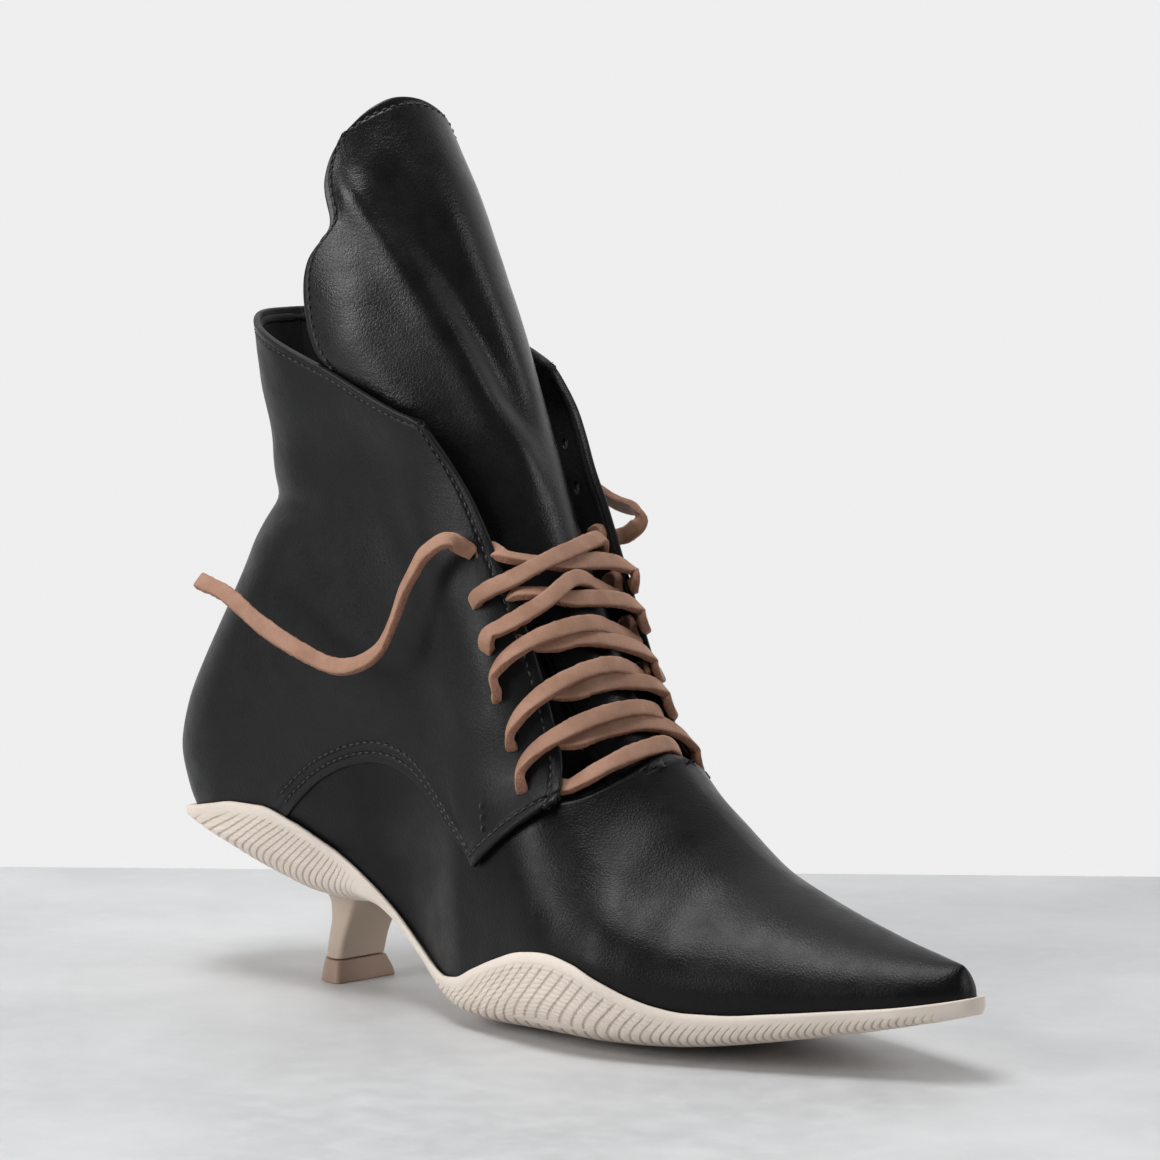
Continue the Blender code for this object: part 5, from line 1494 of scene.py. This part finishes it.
def build_vamp(rows=84):
    """The forepart with both wings, one piece, welded along the ridge and toe."""
    s_list = []
    for a, b, count in ((0.24, 0.30, 8), (0.30, 0.62, 84), (0.62, 0.68, 16)):
        s_list += [lerp(a, b, k / count) for k in range(count)]
    s_list += [0.68 + 0.32 * math.asin(k / 110) / (math.pi / 2) for k in range(110)] + [0.9955, 1.0]
    s_list = sorted(set(round(v, 5) for v in s_list))
    bm = bmesh.new()
    info = {}
    for side in (-1, 1):
        grid = []
        for s in s_list:
            top = vamp_top(s, side)
            column = []
            for j in range(rows + 1):
                p = upper_point(s, top * j / rows, side)
                v = bm.verts.new(p)
                column.append(v)
            # up from the throat's edge, under the lacing, to the tongue
            if 0.62 - 1e-6 <= s <= 0.68 + 1e-6:
                edge = np.array(upper_point(s, 1.0, side))
                round_ = side * 76.0 * (0.68 - s) / 0.06
                goal = np.array(tongue_face(0.155 - 0.02 * (0.68 - s) / 0.06, round_)) + np.array([0.8, 0.0, 0.5])
                lean = edge + np.array([-2.4, 0.0, 1.9])
                for k in range(1, 13):
                    t = k / 12
                    column.append(bm.verts.new(edge * (1 - t) ** 2 + lean * 2 * t * (1 - t) + goal * t * t))
            grid.append(column)
        for a, b in zip(grid, grid[1:]):
            for j in range(min(len(a), len(b)) - 1):
                quad = [a[j], b[j], b[j + 1], a[j + 1]]
                bm.faces.new(quad if side < 0 else quad[::-1])
    bmesh.ops.remove_doubles(bm, verts=bm.verts, dist=1e-3)
    bmesh.ops.dissolve_degenerate(bm, edges=bm.edges, dist=1e-4)
    bmesh.ops.recalc_face_normals(bm, faces=bm.faces)
    bm.normal_update()
    pts = np.array([v.co[:] for v in bm.verts])
    nor = np.array([v.normal[:] for v in bm.verts])
    if (nor[:, 2] * (pts[:, 2] > 40)).sum() < 0:
        nor = -nor
    side_of = np.where(pts[:, 1] < np.array([middle_y(x, z) for x, _, z in pts]), -1, 1)
    seam_z = np.interp(pts[:, 0], ARCH["x"], ARCH["z"])
    under = np_smooth(-1.5, 3.0, pts[:, 2] - seam_z) * (1 - np_smooth(134, 142, pts[:, 0]))
    lift = -0.25 * (1 - np_smooth(262.0, 270.0, pts[:, 0])) - 0.35 * under
    quiet = np_smooth(0, 14, 268 - pts[:, 0])
    lift += (0.22 * wave(pts, 24.0, 3.0) + 0.05 * wave(pts, 6.0, 1.0)) * quiet
    lift += fold_field(pts, [(even(spline(line, 24), 3.0), w, h, f) for line, w, h, f in VAMP_FOLDS])
    low = np.array([max(edge_z(min(x, 273.0), s) for s in (-1, 1)) for x in pts[:, 0]])
    moved = pts + nor * lift[:, None]
    for v, p in zip(bm.verts, moved):
        v.co = Vector(p)
    mesh_points = [v.co[:] for v in bm.verts]
    bm.verts.index_update()
    faces = [[v.index for v in f.verts] for f in bm.faces]
    bm.free()
    obj = make("vamp", mesh_points, faces, [VAMP_LEATHER, LINING])
    solid = obj.modifiers.new("thickness", "SOLIDIFY")
    solid.thickness, solid.offset, solid.use_even_offset = 0.0015, -1.0, False
    solid.material_offset, solid.material_offset_rim = 1, 0
    thick = obj.vertex_groups.new(name="thickness")
    at_toe = 1 - np_smooth(246.0, 266.0, pts[:, 0])
    at_throat = 1 - np.exp(-((pts[:, 0] - 163.0) / 7.0) ** 2 - ((pts[:, 1] - 8.0) / 26.0) ** 2) * np_smooth(58.0, 63.0, pts[:, 2])
    for index, weight in enumerate(np.clip(at_toe * (0.25 + 0.75 * at_throat), 0.06, 1.0)):
        thick.add([index], float(weight), "REPLACE")
    solid.vertex_group = "thickness"
    return obj


# vamp folds: points laid on the last's face, (x, z, side)
def face_line(*rows):
    return [on_face(x, z, side) for x, z, side in rows]


VAMP_FOLDS += [
    (face_line((170.0, 41.0, -1), (182.0, 33.5, -1), (195.0, 29.5, -1), (210.0, 28.0, -1)), 10.0, 1.0, 0.45),
    (face_line((178.0, 52.0, -1), (190.0, 43.0, -1), (204.0, 38.0, -1)), 10.0, -0.5, 0.45),
    (face_line((196.0, 48.0, -1), (201.0, 38.0, -1), (203.0, 27.0, -1)), 6.0, -0.5, 0.35),
    (face_line((172.0, 52.0, -1), (166.0, 40.0, -1)), 7.0, -0.35, 0.4),
]
vamp = build_vamp()
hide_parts("upper")

# ------------------------------------------------------------------- tongue
TONGUE_FOLDS = [
    # (t, turn) along the line, width, height, fade
    ([(0.985, -60), (0.965, -57), (0.943, -52), (0.900, -46), (0.850, -40), (0.800, -35), (0.750, -31), (0.700, -28), (0.65, -24), (0.60, -19), (0.54, -14)], 5.2, 2.2, 0.14),
    ([(0.975, -38), (0.930, -35), (0.891, -30), (0.848, -24), (0.800, -18), (0.740, -13), (0.680, -9), (0.62, -5)], 6.2, -2.4, 0.20),
    ([(0.86, -66), (0.78, -62), (0.70, -56), (0.62, -50)], 8.0, -1.0, 0.3),
]


def build_tongue(nu=110, nv=230):
    def side_line(table):
        pts = [(t, a) for t, a in zip(table["t"], table["turn"])]
        dense = np.array(spline([(t * 100.0, a * 0.45, 0.0) for t, a in pts], 300))
        return np.stack([dense[:, 0] / 100.0, dense[:, 1] / 0.45], 1)

    fu, fw = graded(nu, 0.55), graded(nv, 0.3)

    def pick(line, fractions):
        xyz = np.array([tongue_face(t, a) for t, a in line])
        run = np.concatenate([[0], np.cumsum(np.linalg.norm(np.diff(xyz, axis=0), axis=1))])
        goal = fractions * run[-1]
        return np.stack([np.interp(goal, run, line[:, k]) for k in range(2)], 1)

    L, R = pick(side_line(TONGUE_LATERAL), fw), pick(side_line(TONGUE_MEDIAL), fw)
    T = pick(side_line(TONGUE_TOP), fu)
    B = pick(np.array([(0.02, a) for a in np.linspace(-60, 60, 40)]), fu)
    T[0], T[-1], B[0], B[-1] = L[-1], R[-1], L[0], R[0]
    u, w = fu[:, None, None], fw[None, :, None]
    G = (1 - w) * B[:, None] + w * T[:, None] + (1 - u) * L[None] + u * R[None] \
        - ((1 - u) * (1 - w) * B[0] + u * (1 - w) * B[-1] + (1 - u) * w * T[0] + u * w * T[-1])
    P = np.array([[tongue_face(G[i, j, 0], G[i, j, 1]) for j in range(nv)] for i in range(nu)])
    du, dv = np.gradient(P, axis=0), np.gradient(P, axis=1)
    N = np.cross(du, dv)
    N /= np.maximum(np.linalg.norm(N, axis=2), 1e-9)[..., None]
    if N[nu // 2, nv // 2, 0] < 0:
        N = -N
    folds = [(even(spline([tongue_face(t, a) for t, a in line], 40), 2.0), width, height, fade)
             for line, width, height, fade in TONGUE_FOLDS]
    along, up = run_lengths(P, 0), run_lengths(P, 1)
    edge = np.minimum(np.minimum(along, along[-1:] - along), up[:, -1:] - up)
    lift = fold_field(P, folds) * np_smooth(0.0, 7.0, edge + 1.0)
    lift += (0.35 * wave(P, 19.0, 5.0) + 0.06 * wave(P, 4.5, 4.0)) * np_smooth(120, 150, P[..., 2])
    lift -= 0.22 * bump_at(edge, 2.0, 0.45)
    Q = P + N * lift[..., None]
    du, dv = np.gradient(Q, axis=0), np.gradient(Q, axis=1)
    N2 = np.cross(du, dv)
    N2 /= np.maximum(np.linalg.norm(N2, axis=2), 1e-9)[..., None]
    if (N2 * N).sum(2).mean() < 0:
        N2 = -N2
    obj = shell("tongue_sheet", Q, N2, 1.5, [TONGUE_LEATHER, LINING])
    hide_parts("tongue")
    d_l, d_r, d_t = along, along[-1:] - along, up[:, -1:] - up
    high = lambda j: P[0, j, 2] > 150
    stitch_lines["tongue"].append(line_at(Q, N2, d_l, 2.0, 0, lambda j: high(j) and d_t[0, j] > 2.2))
    stitch_lines["tongue"].append(line_at(Q, N2, d_r, 2.0, 0, lambda j: P[-1, j, 2] > 150 and d_t[-1, j] > 2.2))
    stitch_lines["tongue"].append(line_at(Q, N2, d_t, 2.0, 1, lambda i: 2.2 < d_l[i, -1] and 2.2 < d_r[i, -1]))
    return obj


tongue = build_tongue()


# ---------------------------------------------------------------- stitches
def stitches(name, lines, pitch=2.5, length=1.8, radius=0.33):
    """Rows of short threads, half sunk in the leather."""
    points, faces = [], []
    for line in lines:
        if len(line) < 2:
            continue
        p, n = line[:, :3], line[:, 3:]
        run = np.concatenate([[0], np.cumsum(np.linalg.norm(np.diff(p, axis=0), axis=1))])
        count = max(1, int(run[-1] / pitch))
        for k in range(count):
            ends = []
            for at in ((k + 0.5) * run[-1] / count - length / 2, (k + 0.5) * run[-1] / count, (k + 0.5) * run[-1] / count + length / 2):
                q = np.array([np.interp(at, run, p[:, c]) for c in range(3)])
                m = np.array([np.interp(at, run, n[:, c]) for c in range(3)])
                ends.append((q, m / np.linalg.norm(m)))
            (a, na), (b, nb), (c, nc) = ends
            t = c - a
            t /= max(1e-9, np.linalg.norm(t))
            side_way = np.cross(t, nb)
            base = len(points)
            stations_ = ((0.0, 0.25, -0.22), (0.12, 0.8, 0.06), (0.5, 1.0, 0.26), (0.88, 0.8, 0.06), (1.0, 0.25, -0.22))
            for f, size, rise in stations_:
                centre = a * (1 - f) + c * f + nb * rise
                for m_ in range(6):
                    ang = m_ / 6 * math.tau
                    points.append(centre + (side_way * math.cos(ang) + nb * math.sin(ang)) * radius * size)
            for s_ in range(4):
                for m_ in range(6):
                    o = (m_ + 1) % 6
                    faces.append((base + s_ * 6 + m_, base + s_ * 6 + o, base + s_ * 6 + 6 + o, base + s_ * 6 + 6 + m_))
            faces.append(tuple(base + m_ for m_ in range(5, -1, -1)))
            faces.append(tuple(base + 24 + m_ for m_ in range(6)))
    obj = make(name, points, faces, THREAD)
    return outward_faces(obj)


stitches("stitching_quarters", stitch_lines["quarters"])
stitches("stitching_tongue", stitch_lines["tongue"])

# --------------------------------------------------------------------- sole
RIB_PITCH = dict(
    x=[0.0, 12.0, 60.0, 84.0, 112.0, 120.0, 130.0, 142.0, 155.0, 172.0, 186.0, 196.0, 206.0, 220.0, 280.0],
    mm=[2.3, 2.6, 2.7, 2.2, 1.9, 1.9, 2.6, 3.8, 4.6, 4.6, 3.6, 2.9, 2.4, 2.1, 2.0],
)
RIB_LEAN = dict(x=[0.0, 62.0, 105.0, 120.0, 150.0, 190.0, 230.0, 280.0], k=[0.62, 0.62, 0.5, 0.8, 1.05, 1.0, 1.0, 0.8])
RIB_LIP = dict(x=[0.0, 20.0, 45.0, 62.0, 90.0, 120.0, 135.0, 165.0, 200.0, 225.0, 280.0],
               low=[2.4, 3.6, 3.8, 3.2, 3.2, 3.0, 3.6, 3.8, 3.6, 3.2, 3.0])

_phase_x = np.arange(-30.0, 320.0, 0.25)
_phase = np.concatenate([[0], np.cumsum(0.25 / np.array([tab(RIB_PITCH, "mm", "x", min(max(x, 0.0), 280.0)) for x in _phase_x[:-1]]))])


def hull_half(x, side, count=46):
    """From the rim's outer top edge round to the keel: points and arc length."""
    mid = middle_y(x, edge_z(x, -1))
    spread, lip = tab(HULL, "spread", "x", x), tab(HULL, "lip", "x", x)
    top = edge_z(x, side)
    keel = keel_z(x)
    half = 0.35
    if SOLE_REAR < x < SOLE_FRONT:
        z_at, rear, front = top, SOLE_REAR, SOLE_FRONT
        inner = min(max(x, tab(SHAFT, "back", "z", z_at) + 0.01), TIP_START)
        base = last_width(max(inner, 30.0) if x < 30.0 else inner, z_at, side) + GAP + SOLE_LIP
        if x < 30.0:
            u = (30.0 - x) / (30.0 - rear)
            base = base * max(0.0, 1 - u ** 2.15) ** (1 / 2.15)
        elif x > TIP_START:
            u = (x - TIP_START) / (front - TIP_START)
            wide = tab(FOOT, side_col(side), "x", min(x, 273.0)) - side * tab(FOOT, "ridge_y", "x", min(x, 273.0)) + GAP + SOLE_LIP
            base = wide * max(0.0, 1 - u ** 2.6) ** (1 / 2.3)
        half = max(0.35, base)
    low = min(top - lip, top - 0.45 * (top - keel))
    fine = [(half - 0.45, top), (half - 0.12, top - 0.12), (half, top - 0.5)]
    for k in range(1, 6):
        fine.append((half, lerp(top - 0.5, low, k / 6)))
    for k in range(61):
        a = k / 60 * math.pi / 2
        y = half * (math.cos(a) ** spread if k < 60 else 0.0)
        z = low - (low - keel) * math.sin(a) ** tab(HULL, "drop", "x", x)
        fine.append((y, max(0.0, z)))
    fine = np.array(fine)
    run = np.concatenate([[0], np.cumsum(np.linalg.norm(np.diff(fine, axis=0), axis=1))])
    goal = np.linspace(0, 1, count) ** 1.0 * run[-1]
    goal[1] = min(goal[1], 0.45)
    pts = np.stack([np.interp(goal, run, fine[:, 0]), np.interp(goal, run, fine[:, 1])], 1)
    return mid, half, top, keel, pts, goal


def stations(start, end, first, last, step):
    """x positions, close together at both round ends."""
    out = [start + (first - start) * (1 - math.cos(k / 12 * math.pi / 2)) for k in range(12)]
    count = max(2, round((last - first) / step))
    out += [lerp(first, last, k / count) for k in range(count)]
    return out + [last + (end - last) * math.sin(k / 12 * math.pi / 2) for k in range(13)]


def build_sole():
    xs = list(stations(SOLE_REAR + 0.02, SOLE_FRONT - 0.02, 30.0, TIP_START, 0.62))
    rear = tab(SHAFT, "back", "z", 46.0) - 0.34
    front = tip_x(21.0) + 0.34
    extra = [SOLE_REAR + 0.3 + 28.0 * (1 - math.cos(k / 40 * math.pi / 2)) for k in range(1, 40)]
    extra += [TIP_START + (SOLE_FRONT - 0.1 - TIP_START) * math.sin(k / 30 * math.pi / 2) for k in range(1, 30)]
    xs = sorted(set(round(x, 3) for x in xs + extra + [rear - 0.02, rear + 0.02, front - 0.02, front + 0.02]))
    clean = [xs[0]]
    for x in xs[1:]:
        if x - clean[-1] > 0.03:
            clean.append(x)
    xs = clean
    rows, arcs, ribs, masks, nets = [], [], [], [], []
    count = 46
    for x in xs:
        row, arc_row, rib_row, mask_row, net_row = [], [], [], [], []
        channel = rear < x < front
        for side in (-1, 1):
            mid, half, top, keel, pts, goal = hull_half(x, side, count)
            lip = tab(RIB_LIP, "low", "x", x)
            lean = tab(RIB_LEAN, "k", "x", x)
            part = []
            if channel:
                zc = min(max(top, 40.0), 250.0)
                bx = min(max(x, tab(SHAFT, "back", "z", top) + 0.02), tip_x(top) - 0.02)
                wi = min(half - 0.9, last_width(bx, top, side) + GAP)
                wb = min(half - 0.9, last_width(min(max(x, tab(SHAFT, "back", "z", bed_z(x)) + 0.02), tip_x(bed_z(x)) - 0.02), bed_z(x), side) + GAP)
                wi, wb = max(0.05, wi), max(0.05, wb)
                bed = bed_z(x) - 0.1
            else:
                wi = wb = max(0.02, half - 1.0)
                bed = top - 0.02
            part.append((0.0, bed))
            part.append((wb * 0.5, bed))
            part.append((wb, bed))
            part.append((wi, (bed + top) / 2))
            part.append((wi, top - 0.25))
            part.append((wi + min(0.2, 0.2 * half), top))
            body = [(y, z) for y, z in pts]
            section = part + body
            for k, (y, z) in enumerate(section):
                m = k - len(part)
                arc = goal[m] if m >= 0 else 0.0
                below = max(0.0, arc)
                hgt = z - keel
                arched = hgt * (1 + 0.028 * hgt * (1 - smooth(66.0, 90.0, x)))
                phase = float(np.interp(x - lean * arched, _phase_x, _phase))
                on = smooth(lip - 0.7, lip + 0.5, below) if m >= 0 else 0.0
                waist = smooth(74.0, 84.0, x) * (1 - smooth(112.0, 120.0, x))
                tipf = 1 - smooth(262.0, 272.0, x)
                heel_end = smooth(3.0, 8.0, x)
                on *= (1 - waist) * tipf * heel_end
                net = on * (smooth(118.0, 130.0, x) * (1 - 0.75 * smooth(196.0, 212.0, x)) + 0.5 * smooth(10.0, 26.0, x) * (1 - smooth(66.0, 80.0, x)))
                row.append((x, mid + side * y, z))
                arc_row.append(arc); rib_row.append(phase); mask_row.append(on); net_row.append(net)
            if side < 0:
                left = (row, arc_row, rib_row, mask_row, net_row)
                row, arc_row, rib_row, mask_row, net_row = [], [], [], [], []
        # one ring: bed middle, outer side down to the keel, back up the inner side
        ring = []
        for a, b in zip(left, (row, arc_row, rib_row, mask_row, net_row)):
            ring.append(a + b[1:-1][::-1])
        rows.append(ring[0]); arcs.append(ring[1]); ribs.append(ring[2]); masks.append(ring[3]); nets.append(ring[4])
    P = np.array(rows)
    nx, nr, _ = P.shape
    closed = np.concatenate([P[:, -1:], P, P[:, :1]], axis=1)
    du, dv = np.gradient(P, axis=0), np.gradient(closed, axis=1)[:, 1:-1]
    N = np.cross(du, dv)
    N /= np.maximum(np.linalg.norm(N, axis=2), 1e-9)[..., None]
    k_low = nr // 2
    if N[nx // 2, k_low, 2] > 0:
        N = -N
    phase = np.array(ribs)
    on = np.array(masks)
    frac = np.abs((phase % 1.0) - 0.5) * 2          # 0 at mid groove
    pitch = np.array([tab(RIB_PITCH, "mm", "x", min(x, 280.0)) for x in xs])[:, None]
    groove = np.exp(-((frac * pitch / 2) / 0.42) ** 2)
    depth = 0.44 * on * groove
    flat_low = (P[..., 2] < 0.02)
    depth = np.where(flat_low & (N[..., 2] < -0.9), np.minimum(depth, 0.3), depth)
    P = P - N * depth[..., None]
    P[..., 2] = np.maximum(P[..., 2], 0.0)
    points = P.reshape(-1, 3).tolist()
    faces = []
    for i in range(nx - 1):
        for k in range(nr):
            q = (k + 1) % nr
            faces.append((i * nr + k, i * nr + q, (i + 1) * nr + q, (i + 1) * nr + k))
    faces.append(tuple(range(nr - 1, -1, -1)))
    faces.append(tuple((nx - 1) * nr + k for k in range(nr)))
    obj = make("outsole_ribbed", points, faces, [SOLE_RUBBER, SHADED_STEM_RUBBER],
               floats={"rib": phase.ravel(), "arc": np.array(arcs).ravel(), "ribbed": on.ravel(), "netted": np.array(nets).ravel()})
    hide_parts("outsole")
    return outward_faces(obj)


sole = build_sole()


def heel_section(table, z, corner=1.5, around=40, grow=0.0):
    """D plan: flat breast with tight corners, round back."""
    front, back, half = (tab(table, c, "z", z) for c in ("front", "back", "half"))
    front, back, half = front + grow, back - grow, half + grow
    pts = []
    for k in range(6):
        a = k / 5 * math.pi / 2
        pts.append((front - corner + corner * math.cos(a), half - corner + corner * math.sin(a)))
    depth = front - corner - back
    for k in range(1, around):
        a = k / around * math.pi
        c = math.cos(a)
        pts.append((front - corner - depth * math.sin(a) ** 0.9, half * math.copysign(abs(c) ** 0.92, c)))
    for k in range(6):
        a = (1 - k / 5) * math.pi / 2
        pts.append((front - corner + corner * math.cos(a), -half + corner - corner * math.sin(a)))
    for k in range(1, 6):
        pts.append((front, lerp(-half + corner, half - corner, k / 6)))
    return [(x, y, z) for x, y in pts]


def build_heel_piece(name, table, zs, mat, node_name=None, round_ends=(0, 0)):
    rows = []
    low, high = zs[0], zs[-1]
    for z in zs:
        grow = 0.0
        for end, r in ((low, round_ends[0]), (high, round_ends[1])):
            if r and abs(z - end) < r:
                grow -= r - math.sqrt(max(0.0, r * r - (r - abs(z - end)) ** 2))
        rows.append(heel_section(table, z, grow=grow))
    n = len(rows[0])
    points = [p for row in rows for p in row]
    faces = [(i * n + k, i * n + (k + 1) % n, (i + 1) * n + (k + 1) % n, (i + 1) * n + k)
             for i in range(len(rows) - 1) for k in range(n)]
    faces.append(tuple(range(n - 1, -1, -1)))
    faces.append(tuple((len(rows) - 1) * n + k for k in range(n)))
    obj = make(name, points, faces, mat)
    outward_faces(obj)
    obj.data.set_sharp_from_angle(angle=math.radians(38))
    if node_name:
        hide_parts(node_name)
    return obj


def soft_steps(low, high, r, count):
    ends = [low + r * (1 - math.cos(k / 5 * math.pi / 2)) for k in range(6)]
    return ends + [lerp(low + r, high - r, k / count) for k in range(1, count)] + [high - (e - low) for e in ends[::-1]]


stem = build_heel_piece("heel_stem", STEM, soft_steps(6.3, 32.0, 0.4, 30), SHADED_STEM_RUBBER, round_ends=(0.4, 0.0))
tread = build_heel_piece("heel_top_piece_rubber", TREAD, soft_steps(0.0, 6.0, 0.45, 8), TREAD_RUBBER,
                         "heel_top_piece", round_ends=(0.35, 0.35))

# the insole keeps its solid, with the lining's leather
for slot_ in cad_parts["insole"].material_slots:
    slot_.material = LINING
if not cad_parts["insole"].material_slots:
    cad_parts["insole"].data.materials.append(LINING)

# ------------------------------------------------------ floor, light, world
RIGHT = Vector((0.7595, 0.6505, 0.0))      # the picture's right, along the floor
AWAY = Vector((-0.6505, 0.7595, 0.0))      # away from the eye, along the floor
EYE_FLOOR = Vector((mm(EYE).x, mm(EYE).y, 0.0))

floor_mesh = bpy.data.meshes.new("floor")
corners = [EYE_FLOOR + AWAY * a + RIGHT * b for a, b in ((-1.5, -4.0), (-1.5, 4.0), (1.616, 4.0), (1.616, -4.0))]
floor_mesh.from_pydata([tuple(c) for c in corners], [], [(0, 1, 2, 3)])
floor = bpy.data.objects.new("floor", floor_mesh)
bpy.context.scene.collection.objects.link(floor)
FLOOR, _nt, _bsdf = shader("pale_floor", (0.62, 0.63, 0.64), 0.6)
_v = place(_nt)
_soft = noise(_nt, _v, 0.011, 6.0, 0.62)
_grit = noise(_nt, _v, 0.10, 5.0, 0.65)
_c = mix_colour(_nt, remap(_nt, _soft, 0.3, 0.7, 0, 1), (0.50, 0.505, 0.515), (0.64, 0.645, 0.655))
_c = mix_colour(_nt, remap(_nt, _grit, 0.45, 0.75, 0, 0.35), _c, (0.72, 0.725, 0.73))
_nt.links.new(_c, _bsdf.inputs["Base Color"])
_nt.links.new(remap(_nt, _grit, 0.3, 0.7, 0.42, 0.62), _bsdf.inputs["Roughness"])
add_bump(_nt, _bsdf, [(_grit, 0.0006, 0.25)])
floor_mesh.materials.append(FLOOR)
floor.location.z = -0.00002

world = bpy.data.worlds.new("studio")
bpy.context.scene.world = world
world.use_nodes = True
wn = world.node_tree
back = wn.nodes["Background"]
coord = node(wn, "ShaderNodeTexCoord")
dot = node(wn, "ShaderNodeVectorMath", operation="DOT_PRODUCT")
wn.links.new(coord.outputs["Generated"], dot.inputs[0])
dot.inputs[1].default_value = (AWAY.x, AWAY.y, 0.12)
ramp = node(wn, "ShaderNodeMapRange", interpolation_type="SMOOTHSTEP")
for key, value in (("From Min", 0.0), ("From Max", 0.8), ("To Min", 0.075), ("To Max", 0.86)):
    ramp.inputs[key].default_value = value
wn.links.new(dot.outputs["Value"], ramp.inputs["Value"])
tint = node(wn, "ShaderNodeCombineColor")
for k, gain in enumerate((0.995, 1.0, 0.995)):
    wn.links.new(maths(wn, "MULTIPLY", ramp.outputs["Result"], gain), tint.inputs[k])
wn.links.new(tint.outputs["Color"], back.inputs["Color"])
back.inputs["Strength"].default_value = 1.0


def soft_light(name, spot, aim, size, power, colour=(1, 1, 1)):
    data = bpy.data.lights.new(name, "AREA")
    data.shape, data.size, data.size_y = "RECTANGLE", size[0], size[1]
    data.energy, data.color = power, colour
    light = bpy.data.objects.new(name, data)
    bpy.context.scene.collection.objects.link(light)
    light.location = spot
    light.rotation_mode = "QUATERNION"
    light.rotation_quaternion = (Vector(aim) - Vector(spot)).to_track_quat("-Z", "Y")
    return light


MIDDLE = Vector((0.085, 0.0, 0.10))
soft_light("overhead", MIDDLE - RIGHT * 0.25 - AWAY * 0.10 + Vector((0, 0, 1.35)), MIDDLE, (0.9, 0.7), 15.0)
soft_light("left_side", MIDDLE - RIGHT * 1.3 - AWAY * 0.75 + Vector((0, 0, 0.55)), MIDDLE, (0.6, 1.0), 13.0)
soft_light("right_side", MIDDLE + RIGHT * 1.5 - AWAY * 0.2 + Vector((0, 0, 0.55)), MIDDLE, (0.35, 0.9), 4.5)

bpy.context.scene.view_settings.view_transform = "Standard"
bpy.context.scene.view_settings.look = "None"
